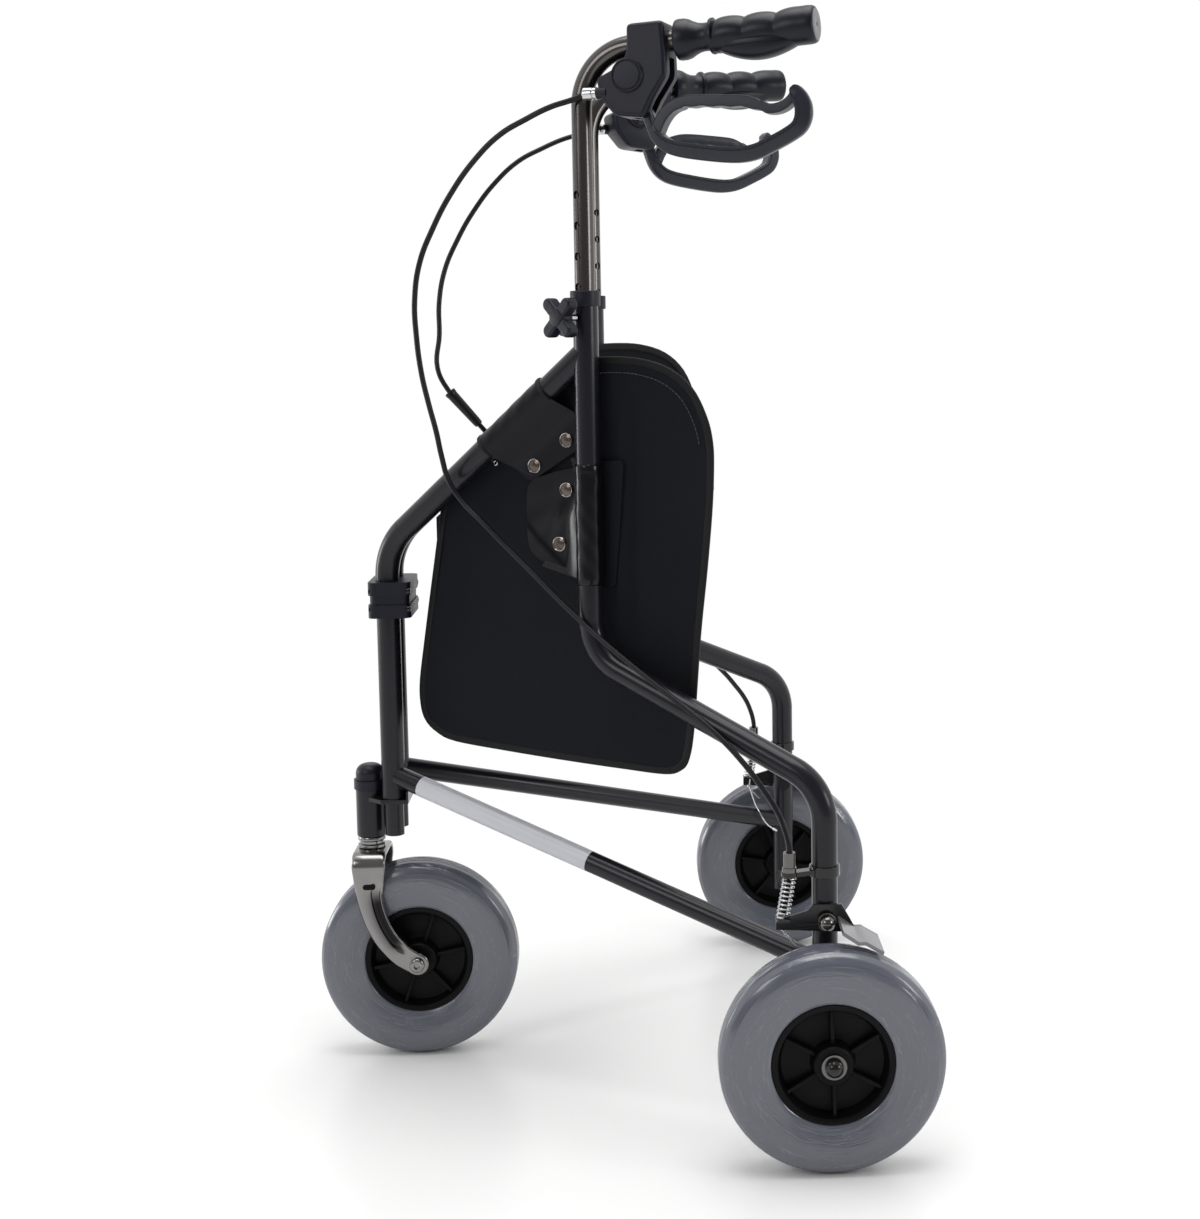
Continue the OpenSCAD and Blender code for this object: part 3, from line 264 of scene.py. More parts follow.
def lathe(name: str, outline: Sequence[Point2], steps: int = 96) -> Piece:
    """Spins an outline round the Z axis.

    Args:
        name: name of the piece.
        outline: pairs of radius and height in millimetres.
        steps: faces round the turn.

    Returns:
        The new mesh object at the origin.
    """
    obj = drawn_line(name, [(r, 0, z) for r, z in outline])
    bpy.ops.mesh.spin(steps=steps, angle=2 * math.pi, center=(0, 0, 0), axis=(0, 0, 1))
    bpy.ops.object.mode_set(mode="OBJECT")
    tidy_normals(obj)
    return obj


def outline_mesh(name: str, outline: Sequence[Point2], depth: float) -> Piece:
    """Extrudes a closed outline in the Y and Z plane, centred on X.

    Args:
        name: name of the piece.
        outline: pairs of Y and Z in millimetres.
        depth: thickness along X in millimetres.

    Returns:
        The new mesh object at the origin.
    """
    obj = drawn_line(name, [(-depth / 2, y, z) for y, z in outline])
    bpy.ops.mesh.edge_face_add()
    bpy.ops.mesh.select_all(action="SELECT")
    bpy.ops.mesh.extrude_region_move(TRANSFORM_OT_translate={"value": (depth * MM, 0, 0)})
    bpy.ops.object.mode_set(mode="OBJECT")
    tidy_normals(obj)
    return obj


def block(name: str, low: Point3, high: Point3, rounding: float = 0.0) -> Piece:
    """Adds a box between two corners, given in millimetres, with rounded edges."""
    start_clean()
    bpy.ops.mesh.primitive_cube_add(size=MM)
    obj = bpy.context.object
    obj.name = name
    bpy.ops.object.mode_set(mode="EDIT")
    bpy.ops.mesh.select_all(action="SELECT")
    bpy.ops.transform.resize(value=tuple(h - l for l, h in zip(low, high)))
    bpy.ops.transform.translate(value=tuple((l + h) / 2 * MM for l, h in zip(low, high)))
    if rounding:
        bpy.ops.mesh.bevel(offset=rounding * MM, segments=3, affect="EDGES")
    bpy.ops.object.mode_set(mode="OBJECT")
    return obj


def curve_of(name: str, points: Iterable[Point3], bezier: bool = True) -> Piece:
    """Makes a curve object through points in millimetres.

    Args:
        name: name of the curve.
        points: places along it.
        bezier: whether it runs smoothly through the points.

    Returns:
        The curve object.
    """
    data = bpy.data.curves.new(name, "CURVE")
    data.dimensions = "3D"
    data.fill_mode = "FULL"
    data.resolution_u = 6
    places = [Vector(p) * MM for p in points]
    spline = data.splines.new("BEZIER" if bezier else "POLY")
    if bezier:
        spline.bezier_points.add(len(places) - 1)
        for knot, place in zip(spline.bezier_points, places):
            knot.co = place
            knot.handle_left_type = "AUTO"
            knot.handle_right_type = "AUTO"
    else:
        spline.points.add(len(places) - 1)
        for knot, place in zip(spline.points, places):
            knot.co = (*place, 1.0)
    obj = bpy.data.objects.new(name, data)
    bpy.context.scene.collection.objects.link(obj)
    return obj


def to_mesh(obj: Piece) -> Piece:
    """Turns a curve into a mesh with merged points and outward faces."""
    take(obj)
    bpy.ops.object.convert(target="MESH")
    mesh = bpy.context.object
    tidy_normals(mesh)
    return mesh


def swept_rod(name: str, points: Iterable[Point3], radius: float, sides: int = 4,
              bezier: bool = True) -> Piece:
    """Sweeps a round rod through points.

    Args:
        name: name of the piece.
        points: places along it in millimetres.
        radius: radius in millimetres.
        sides: resolution of the round, a quarter of its faces.
        bezier: whether it runs smoothly through the points.

    Returns:
        The mesh object.
    """
    obj = curve_of(name, points, bezier)
    obj.data.bevel_depth = radius * MM
    obj.data.bevel_resolution = sides
    obj.data.use_fill_caps = True
    mesh = to_mesh(obj)
    smooth(mesh, 50)
    return mesh


def loft(name: str, rows: Sequence[Sequence[Point3]], ends: Ends) -> Piece:
    """Skins closed sections one after another.

    Args:
        name: name of the piece.
        rows: sections along the piece, each a closed row of points in millimetres.
        ends: how the piece finishes.

    Returns:
        The mesh object.
    """
    wide = len(rows[0])
    path = list(rows) + ([rows[0]] if ends is Ends.RING else [])
    start_clean()
    bpy.ops.mesh.primitive_grid_add(x_subdivisions=wide, y_subdivisions=len(path) - 1, size=1.0)
    obj = bpy.context.object
    obj.name = name
    for index, vertex in enumerate(obj.data.vertices):
        row, column = divmod(index, wide + 1)
        vertex.co = Vector(path[row][column % wide]) * MM
    take(obj)
    bpy.ops.object.mode_set(mode="EDIT")
    bpy.ops.mesh.select_all(action="SELECT")
    bpy.ops.mesh.remove_doubles(threshold=1e-6)
    if ends is Ends.CAPPED:
        bpy.ops.mesh.fill_holes(sides=0)
        bpy.ops.mesh.select_all(action="SELECT")
    bpy.ops.mesh.normals_make_consistent(inside=False)
    bpy.ops.object.mode_set(mode="OBJECT")
    smooth(obj, 40)
    return obj


def smooth_line(points: Sequence[Point2], steps: int = 4) -> list[Point2]:
    """Runs a smooth line through points, with a number of steps between each two."""
    out: list[Point2] = []
    last = len(points) - 1
    for i in range(last):
        a, b, c, d = (Vector(points[k]) for k in (max(i - 1, 0), i, i + 1, min(i + 2, last)))
        for k in range(steps):
            t = k / steps
            p = 0.5 * (2 * b + (c - a) * t + (2 * a - 5 * b + 4 * c - d) * t * t
                       + (3 * b - a - 3 * c + d) * t ** 3)
            out.append((p.x, p.y))
    out.append(tuple(points[last]))
    return out


def flat_bar(name: str, line: Sequence[Point2], sizes: Sequence[float],
             section: Callable[[float], Sequence[Point2]], ends: Ends) -> Piece:
    """Sweeps a section along a line in the Y and Z plane.

    Args:
        name: name of the piece.
        line: middle line, as pairs of Y and Z in millimetres.
        sizes: depth of the bar within the plane at each place.
        section: gives the section, across X and across the line, for a depth.
        ends: how the bar finishes.

    Returns:
        The mesh object.
    """
    rows: list[list[Point3]] = []
    count = len(line)
    for i, (y, z) in enumerate(line):
        before = line[i - 1] if i or ends is Ends.RING else line[0]
        after = line[(i + 1) % count] if i < count - 1 or ends is Ends.RING else line[i]
        run = (Vector(after) - Vector(before)).normalized()
        rows.append([(u, y - run.y * v, z + run.x * v) for u, v in section(sizes[i])])
    return loft(name, rows, ends)


def spread(values: Sequence[float], count: int) -> list[float]:
    """Spreads a few values evenly over a count, straight between them."""
    out = []
    for i in range(count):
        at = i / (count - 1) * (len(values) - 1)
        k = min(int(at), len(values) - 2)
        out.append(values[k] + (values[k + 1] - values[k]) * (at - k))
    return out


def rounded_rect(width: float, height: float, radius: float, steps: int = 4) -> list[Point2]:
    """Outline of a rectangle with round corners, centred."""
    out: list[Point2] = []
    corners = ((1, 1, 0), (-1, 1, 90), (-1, -1, 180), (1, -1, 270))
    for sx, sy, turn in corners:
        for i in range(steps + 1):
            a = math.radians(turn + 90 * i / steps)
            out.append((sx * (width / 2 - radius) + radius * math.cos(a),
                        sy * (height / 2 - radius) + radius * math.sin(a)))
    return out


def ramped(value: float, start: float, rise: float, end: float, fall: float) -> float:
    """Share from 0 to 1 that rises after a start and falls before an end, each over its own run."""
    return min(1.0, max(0.0, (value - start) / rise), max(0.0, (end - value) / fall))


def joined(pieces: Sequence[Piece], name: str) -> Piece:
    """Joins meshes into one object.

    Args:
        pieces: the meshes; the first one stays.
        name: name of the joined piece.

    Returns:
        The joined object.
    """
    take(pieces[0])
    for other in pieces[1:]:
        other.select_set(True)
    bpy.ops.object.join()
    bpy.context.object.name = name
    return bpy.context.object


def placed(obj: Piece, matrix: Matrix) -> Piece:
    """Moves a mesh's own points by a matrix and keeps its faces outwards."""
    obj.data.transform(matrix)
    if matrix.determinant() < 0:
        obj.data.flip_normals()
    obj.data.update()
    return obj


def twin(obj: Piece, name: str, matrix: Matrix = MIRROR) -> Piece:
    """Copies a finished piece, with a mesh of its own, and moves the copy by a matrix."""
    other = obj.copy()
    other.data = obj.data.copy()
    other.name = name
    bpy.context.scene.collection.objects.link(other)
    return placed(other, matrix)


class NodeKit:
    """Small helper that lays shader nodes into one tree."""

    def __init__(self, tree: bpy.types.NodeTree) -> None:
        """Keeps the tree that the nodes go into."""
        self.tree = tree

    def feed(self, target: Socket, value: Feed) -> None:
        """Gives an input the output of another node or a plain value."""
        if isinstance(value, Socket):
            self.tree.links.new(value, target)
        else:
            target.default_value = value

    def add(self, kind: str, **values: object) -> bpy.types.Node:
        """Adds a node.

        Args:
            kind: Blender's name of the node type.
            **values: attributes, or what the input sockets get, by name.

        Returns:
            The node.
        """
        node = self.tree.nodes.new(kind)
        for key, value in values.items():
            if hasattr(node, key):
                setattr(node, key, value)
            else:
                self.feed(node.inputs[key.replace("_", " ")], value)
        return node

    def math(self, operation: str, *values: Feed, clamp: bool = False) -> Socket:
        """Lays one step of arithmetic over its values.

        Args:
            operation: Blender's name of the step.
            *values: what its inputs get, in order.
            clamp: whether the outcome is kept between 0 and 1.

        Returns:
            The outcome.
        """
        node = self.add("ShaderNodeMath", operation=operation, use_clamp=clamp)
        for socket, value in zip(node.inputs, values):
            self.feed(socket, value)
        return node.outputs[0]

    def ramp(self, value: Socket, start: float, end: float, low: float = 0.0, high: float = 1.0,
             curve: str = "SMOOTHSTEP") -> Socket:
        """Runs from one outcome to another while a value passes between two limits.

        Args:
            value: the value.
            start: its first limit.
            end: its second limit.
            low: outcome at the first limit.
            high: outcome at the second limit.
            curve: Blender's name of the way between them.

        Returns:
            The outcome.
        """
        node = self.add("ShaderNodeMapRange", interpolation_type=curve, Value=value, From_Min=start,
                        From_Max=end, To_Min=low, To_Max=high)
        return node.outputs["Result"]

    def mixed(self, share: Socket, colour: Socket, other: Point3) -> Socket:
        """Mixes a plain colour into another by a share.

        Args:
            share: how much of the plain colour there is.
            colour: the colour it goes into.
            other: the plain colour.

        Returns:
            The mixed colour.
        """
        node = self.add("ShaderNodeMix", data_type="RGBA")
        for index, value in ((0, share), (6, colour), (7, (*other, 1))):
            self.feed(node.inputs[index], value)
        return node.outputs[2]

    def scaled(self, colour: Socket, factor: Socket) -> Socket:
        """Makes a colour lighter or darker by a factor."""
        node = self.add("ShaderNodeVectorMath", operation="SCALE", Scale=factor)
        self.feed(node.inputs[0], colour)
        return node.outputs[0]

    def place(self) -> Socket:
        """Place on the object in its own axes."""
        return self.add("ShaderNodeTexCoord").outputs["Object"]

    def distance(self) -> Socket:
        """Distance of a place from the object's own origin."""
        node = self.add("ShaderNodeVectorMath", operation="LENGTH")
        self.feed(node.inputs[0], self.place())
        return node.outputs["Value"]


def new_group(name: str, inputs: dict[str, Feed], outputs: Sequence[str],
              ) -> tuple[NodeKit, bpy.types.NodeOutputs, bpy.types.NodeInputs]:
    """Starts a shader node group.

    Args:
        name: name of the group.
        inputs: default of each input by name, a number or a colour.
        outputs: name of each output; the one called Colour is a colour and the others are numbers.

    Returns:
        A kit for the group, what it is given and what it has to give.
    """
    tree = bpy.data.node_groups.new(name, "ShaderNodeTree")
    for label, default in inputs.items():
        kind = "NodeSocketFloat" if isinstance(default, float) else "NodeSocketColor"
        tree.interface.new_socket(label, in_out="INPUT", socket_type=kind).default_value = default
    for label in outputs:
        kind = "NodeSocketColor" if label == "Colour" else "NodeSocketFloat"
        tree.interface.new_socket(label, in_out="OUTPUT", socket_type=kind)
    kit = NodeKit(tree)
    return kit, kit.add("NodeGroupInput").outputs, kit.add("NodeGroupOutput").inputs


class Effects:
    """Shared surface effects, each a node group built once."""

    def __init__(self) -> None:
        """Builds every group."""
        self.grain = self._grain()
        self.weave = self._weave()
        self.dust = self._dust()
        self.swirl = self._swirl()

    @staticmethod
    def _swirl() -> bpy.types.NodeTree:
        """Faint wrinkles of a clear skin, drawn out round a wheel, with thin painted glint lines along them.
        """
        kit, given, wanted = new_group("skin_swirl", {"Scale": 2.2}, ("Height", "Streak"))
        place = kit.add("ShaderNodeAttribute", attribute_name="round_wheel").outputs["Vector"]
        ridge = kit.add("ShaderNodeTexNoise", Vector=place, Scale=given["Scale"], Detail=3.0, Roughness=0.55,
                        Distortion=0.5)
        patch = kit.add("ShaderNodeTexNoise", Vector=place, Scale=1.4, Detail=2.0)
        shift = kit.math("SUBTRACT", ridge.outputs["Fac"], 0.5)
        # Painted glint: a thin light line where the wrinkle noise crosses its middle, only in patches.
        line = kit.ramp(kit.math("ABSOLUTE", shift), 0.0, 0.022, 0.3, 0.0)
        where = kit.ramp(patch.outputs["Fac"], 0.42, 0.68)
        kit.feed(wanted["Height"], kit.math("MULTIPLY", shift, where))
        kit.feed(wanted["Streak"], kit.math("MULTIPLY", line, where))
        return kit.tree

    @staticmethod
    def _grain() -> bpy.types.NodeTree:
        """Fine speckle and broad drift for paint, plastic and rubber."""
        kit, given, wanted = new_group(
            "surface_grain",
            {"Colour": (0.5, 0.5, 0.5, 1), "Drift": 0.1, "Fine Scale": 900.0, "Broad Scale": 14.0,
             "Roughness": 0.4, "Rough Drift": 0.1},
            ("Colour", "Roughness", "Height"))
        place = kit.place()
        fine = kit.add("ShaderNodeTexNoise", Vector=place, Scale=given["Fine Scale"], Detail=3.0)
        broad = kit.add("ShaderNodeTexNoise", Vector=place, Scale=given["Broad Scale"], Detail=4.0)
        shift = kit.math("SUBTRACT", broad.outputs["Fac"], 0.5)
        gain = kit.math("MULTIPLY_ADD", shift, kit.math("MULTIPLY", given["Drift"], 2.0), 1.0)
        rough = kit.math("MULTIPLY_ADD", shift, given["Rough Drift"], given["Roughness"])
        kit.feed(wanted["Colour"], kit.scaled(given["Colour"], gain))
        kit.feed(wanted["Roughness"], rough)
        kit.feed(wanted["Height"], fine.outputs["Fac"])
        return kit.tree

    @staticmethod
    def _weave() -> bpy.types.NodeTree:
        """Crossed threads of a plain woven cloth."""
        kit, given, wanted = new_group("cloth_weave", {"Threads": 900.0}, ("Height", "Shade"))
        place = kit.place()
        waves = [kit.add("ShaderNodeTexWave", wave_type="BANDS", bands_direction=axis, Vector=place,
                         Scale=given["Threads"], Distortion=0.4, Detail_Scale=2.0) for axis in ("Y", "Z")]
        both = kit.math("MAXIMUM", *(wave.outputs["Fac"] for wave in waves))
        kit.feed(wanted["Height"], both)
        kit.feed(wanted["Shade"], kit.ramp(both, 0.0, 1.0, 0.75, 1.1, "LINEAR"))
        return kit.tree

    @staticmethod
    def _dust() -> bpy.types.NodeTree:
        """Light scuffs and dust where a surface has been handled."""
        kit, given, wanted = new_group("handling_marks", {"Scale": 60.0, "Amount": 0.2}, ("Mask",))
        stretch = kit.add("ShaderNodeMapping", Vector=kit.place(), Scale=(1.0, 1.0, 0.3))
        noise = kit.add("ShaderNodeTexNoise", Vector=stretch.outputs["Vector"], Scale=given["Scale"],
                        Detail=8.0, Roughness=0.7)
        patch = kit.ramp(noise.outputs["Fac"], 0.55, 0.8, curve="LINEAR")
        kit.feed(wanted["Mask"], kit.math("MULTIPLY", patch, given["Amount"]))
        return kit.tree


@dataclass(frozen=True)
class Finish:
    """One finish of the object and the numbers its shader takes."""

    name: str
    colour: Point3
    roughness: float
    metallic: float = 0.0
    drift: float = 0.12
    rough_drift: float = 0.12
    fine_scale: float = 900.0
    broad_scale: float = 16.0
    bump: float = 0.05
    bump_depth: float = 0.0002
    coat: float = 0.0
    coat_roughness: float = 0.1
    specular: float = 0.5
    marks: float = 0.0
    mark_colour: Point3 = (0.5, 0.5, 0.5)
    threads: float = 0.0
    creases: float = 0.0
    crease_scale: float = 13.0
    crease_depth: float = 0.012
    film: float = 0.0
    film_depth: float = 0.004
    # Colour of the painted glint lines on a clear skin.
    film_glint_colour: Point3 = (0.36, 0.38, 0.44)

    def material(self, effects: Effects) -> bpy.types.Material:
        """Builds the material.

        Args:
            effects: the shared effect groups.

        Returns:
            The material.
        """
        mat = bpy.data.materials.new(self.name)
        mat.use_nodes = True
        kit = NodeKit(mat.node_tree)
        shader = mat.node_tree.nodes["Principled BSDF"]
        grain = kit.add("ShaderNodeGroup", node_tree=effects.grain, Colour=(*self.colour, 1),
                        Drift=self.drift, Fine_Scale=self.fine_scale, Broad_Scale=self.broad_scale,
                        Roughness=self.roughness, Rough_Drift=self.rough_drift).outputs
        colour, height = grain["Colour"], grain["Height"]
        if self.threads:
            weave = kit.add("ShaderNodeGroup", node_tree=effects.weave, Threads=self.threads).outputs
            colour, height = kit.scaled(colour, weave["Shade"]), weave["Height"]
        if self.marks:
            marks = kit.add("ShaderNodeGroup", node_tree=effects.dust, Amount=self.marks)
            colour = kit.mixed(marks.outputs["Mask"], colour, self.mark_colour)
        bump = kit.add("ShaderNodeBump", Strength=self.bump, Distance=self.bump_depth, Height=height)
        if self.film:
            swirl = kit.add("ShaderNodeGroup", node_tree=effects.swirl).outputs
            # Lightens the colour along the swirl's lines: a painted glint of the clear skin.
            colour = kit.mixed(swirl["Streak"], colour, self.film_glint_colour)
            wrap = kit.add("ShaderNodeBump", Strength=self.film, Distance=self.film_depth,
                           Height=swirl["Height"])
            kit.feed(bump.inputs["Normal"], wrap.outputs["Normal"])
        if self.creases:
            folds = kit.add("ShaderNodeTexNoise", Vector=kit.place(), Scale=self.crease_scale, Detail=1.0,
                            Distortion=0.8)
            crease = kit.add("ShaderNodeBump", Strength=self.creases, Distance=self.crease_depth,
                             Height=folds.outputs["Fac"])
            kit.feed(bump.inputs["Normal"], crease.outputs["Normal"])
        for key, value in (("Base Color", colour), ("Roughness", grain["Roughness"]),
                           ("Normal", bump.outputs["Normal"]), ("Metallic", self.metallic),
                           ("Coat Weight", self.coat), ("Coat Roughness", self.coat_roughness),
                           ("Specular IOR Level", self.specular)):
            kit.feed(shader.inputs[key], value)
        return mat


FINISHES: tuple[Finish, ...] = (
    Finish("frame_paint", (0.0095, 0.0092, 0.0138), 0.30, metallic=0.2, drift=0.08, fine_scale=2600.0,
           bump=0.03, bump_depth=0.00004, coat=0.2, coat_roughness=0.12, specular=0.3, marks=0.05,
           mark_colour=(0.05, 0.05, 0.05)),
    Finish("handle_metal", (0.105, 0.098, 0.094), 0.2, metallic=0.95, drift=0.06, rough_drift=0.0,
           fine_scale=900.0, broad_scale=6.0, bump=0.0, bump_depth=0.00002),
    Finish("bright_plate", (0.60, 0.60, 0.61), 0.14, metallic=1.0, drift=0.06, fine_scale=1400.0, bump=0.02,
           bump_depth=0.00003, marks=0.08, mark_colour=(0.25, 0.24, 0.23)),
    Finish("fork_chrome", (0.25, 0.244, 0.242), 0.17, metallic=1.0, drift=0.10, rough_drift=0.12,
           fine_scale=1400.0, bump=0.03, bump_depth=0.00003, marks=0.10, mark_colour=(0.10, 0.095, 0.09)),
    Finish("gloss_black", (0.004, 0.004, 0.005), 0.14, coat=0.2, coat_roughness=0.05, drift=0.1,
           specular=0.4, fine_scale=1500.0, bump=0.03, bump_depth=0.00004),
    Finish("moulded_black", (0.0045, 0.005, 0.0135), 0.42, drift=0.12, fine_scale=2400.0, bump=0.12,
           specular=0.32, bump_depth=0.00008, marks=0.04, mark_colour=(0.04, 0.04, 0.045)),
    Finish("lever_black", (0.021, 0.0225, 0.032), 0.33, drift=0.12, fine_scale=2400.0, bump=0.10,
           specular=0.34, bump_depth=0.00008, marks=0.05, mark_colour=(0.04, 0.04, 0.045)),
    Finish("hub_black", (0.0030, 0.0029, 0.0036), 0.42, drift=0.15, fine_scale=1600.0, bump=0.08,
           specular=0.12, bump_depth=0.0001, marks=0.04, mark_colour=(0.02, 0.02, 0.02)),
    Finish("soft_grip", (0.002, 0.003, 0.0085), 0.36, drift=0.12, fine_scale=3000.0, bump=0.15,
           specular=0.34, bump_depth=0.00008, marks=0.04, mark_colour=(0.03, 0.03, 0.03)),
    Finish("grip_end_grey", (0.20, 0.20, 0.215), 0.5, drift=0.08, fine_scale=1500.0, bump=0.08,
           bump_depth=0.00006),
    # The tyres' clear skin gives wrinkle bumps and painted glint lines.
    Finish("tyre_grey", (0.100, 0.107, 0.134), 0.17, drift=0.2, rough_drift=0.3, fine_scale=700.0,
           specular=0.95, broad_scale=11.0, bump=0.05, bump_depth=0.00012, marks=0.10,
           mark_colour=(0.22, 0.23, 0.26), film=0.28),
    Finish("cable_black", (0.005, 0.005, 0.007), 0.34, drift=0.08, fine_scale=2000.0, bump=0.05,
           specular=0.3, bump_depth=0.00005),
    Finish("bag_cloth", (0.0080, 0.0088, 0.0118), 0.75, drift=0.30, rough_drift=0.1, broad_scale=9.0,
           specular=0.12, bump=0.35, bump_depth=0.00025, threads=420.0),
    Finish("bag_binding", (0.007, 0.007, 0.0085), 0.55, drift=0.2, bump=0.3, bump_depth=0.00025,
           specular=0.2, threads=700.0),
    Finish("strap_vinyl", (0.0035, 0.0035, 0.0052), 0.2, drift=0.15, rough_drift=0.12, fine_scale=1300.0,
           broad_scale=30.0, bump=0.12, bump_depth=0.00012, specular=0.28, creases=0.22),
    Finish("slope_vinyl", (0.0050, 0.0050, 0.0085), 0.33, drift=0.15, rough_drift=0.12, fine_scale=1300.0,
           bump=0.05, bump_depth=0.00006, specular=0.2),
    Finish("stitch_thread", (0.055, 0.055, 0.058), 0.7, drift=0.2, fine_scale=5000.0, bump=0.2,
           bump_depth=0.00005),
    Finish("dark_thread", (0.035, 0.035, 0.038), 0.6, drift=0.2, fine_scale=5000.0, bump=0.2,
           bump_depth=0.00005),
    Finish("snap_brass", (0.125, 0.100, 0.086), 0.22, metallic=0.95, drift=0.35, broad_scale=160.0,
           fine_scale=2500.0, bump=0.08, bump_depth=0.00004, marks=0.45, mark_colour=(0.06, 0.045, 0.04)),
    Finish("band_silver", (0.56, 0.57, 0.61), 0.40, metallic=0.1, drift=0.05, fine_scale=1800.0, bump=0.04,
           bump_depth=0.00004, marks=0.05, mark_colour=(0.40, 0.41, 0.44)),
)


class Paints:
    """All finishes as materials."""

    def __init__(self) -> None:
        """Builds the effect groups and every material."""
        effects = Effects()
        self.by_name = {f.name: f.material(effects) for f in FINISHES}
        self.by_name["arm_and_shoe"] = self._arm_and_shoe(effects)
        self.by_name["bright_outside"] = self._bright_outside(effects)
        self.by_name["fork_strap"] = self._fork_strap(effects)

    @staticmethod
    def _toned(mat: bpy.types.Material, share: Socket, colour: Point3,
               metallic: Feed) -> bpy.types.Material:
        """Mixes a second tone into a material.

        Args:
            mat: the material.
            share: how much of the second tone there is.
            colour: the second tone.
            metallic: how metallic the material is with both.

        Returns:
            The same material.
        """
        kit = NodeKit(mat.node_tree)
        inputs = mat.node_tree.nodes["Principled BSDF"].inputs
        first = inputs["Base Color"].links[0].from_socket
        kit.feed(inputs["Base Color"], kit.mixed(share, first, colour))
        kit.feed(inputs["Metallic"], metallic)
        return mat

    def _fork_strap(self, effects: Effects) -> bpy.types.Material:
        """Chrome darkened to near black by painted shade along its channel, as much as the strap's own
        attribute says.
        """
        chrome = next(f for f in FINISHES if f.name == "fork_chrome")
        mat = replace(chrome, name="fork_strap").material(effects)
        hollow = NodeKit(mat.node_tree).add("ShaderNodeAttribute", attribute_name="channel_shade")
        # The near-black tone mixed in here is painted shade in the fork's rear channel.
        return self._toned(mat, hollow.outputs["Fac"], (0.014, 0.0135, 0.0145), chrome.metallic)

    def _arm_and_shoe(self, effects: Effects) -> bpy.types.Material:
        """Black arm with a plain steel shoe beyond it, told apart by how far out they stand."""
        base = Finish("arm_and_shoe", (0.007, 0.007, 0.008), 0.24, drift=0.1, fine_scale=1500.0, bump=0.04,
                      bump_depth=0.00005)
        mat = base.material(effects)
        kit = NodeKit(mat.node_tree)
        split = kit.add("ShaderNodeSeparateXYZ", Vector=kit.place()).outputs
        past = kit.math("GREATER_THAN", kit.math("ABSOLUTE", split["X"]),
                        (LAYOUT.leg[0] + LAYOUT.tube_r + 4.0) * MM)
        behind = kit.math("GREATER_THAN", split["Y"], (LAYOUT.leg[1] + 6.0) * MM)
        both = kit.math("MULTIPLY", past, behind)
        return self._toned(mat, both, (0.20, 0.20, 0.215), kit.math("MULTIPLY", both, 0.5))

    def _bright_outside(self, effects: Effects) -> bpy.types.Material:
        """Bright plate on the outer half of a bolt, dark on the half inside the legs."""
        base = Finish("bright_outside", (0.15, 0.143, 0.138), 0.16, metallic=1.0, drift=0.06,
                      fine_scale=1400.0, bump=0.02, bump_depth=0.00003)
        mat = base.material(effects)
        kit = NodeKit(mat.node_tree)
        split = kit.add("ShaderNodeSeparateXYZ", Vector=kit.place()).outputs
        inside = kit.math("LESS_THAN", kit.math("ABSOLUTE", split["X"]), LAYOUT.leg[0] * MM)
        return self._toned(mat, inside, (0.016, 0.0155, 0.017), kit.math("SUBTRACT", 1.0, inside))

    def put(self, obj: Piece, name: str) -> None:
        """Gives a piece one finish."""
        obj.data.materials.clear()
        obj.data.materials.append(self.by_name[name])


def finish_piece(obj: Piece, paints: Paints, paint: str, body: str,
                 replaces: Sequence[str] = ()) -> Piece:
    """Paints a new piece, hangs it on its body and hides the construction nodes that it stands for.

    Args:
        obj: the piece.
        paints: the materials.
        paint: name of its finish.
        body: the body it moves with.
        replaces: construction nodes that it stands for.

    Returns:
        The same piece.
    """
    paints.put(obj, paint)
    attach(obj, body)
    if replaces:
        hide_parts(*replaces)
    log.info("%s: %d faces on %s", obj.name, len(obj.data.polygons), body)
    return obj


def finish_pair(obj: Piece, paints: Paints, paint: str, body: str, stands: str = "") -> None:
    """Finishes a piece of the left side and its mirrored twin.

    Args:
        obj: the left piece.
        paints: the materials.
        paint: name of their finish.
        body: the body that they move with, without the word of its side.
        stands: the construction node that they stand for, without the word of its side.
    """
    key = obj.name.removeprefix("left_")
    for side in Side:
        piece = obj if side is Side.LEFT else twin(obj, f"right_{key}")
        nodes = [f"{side.word}_{stands}"] if stands else []
        finish_piece(piece, paints, paint, f"{side.word}_{body}", nodes)


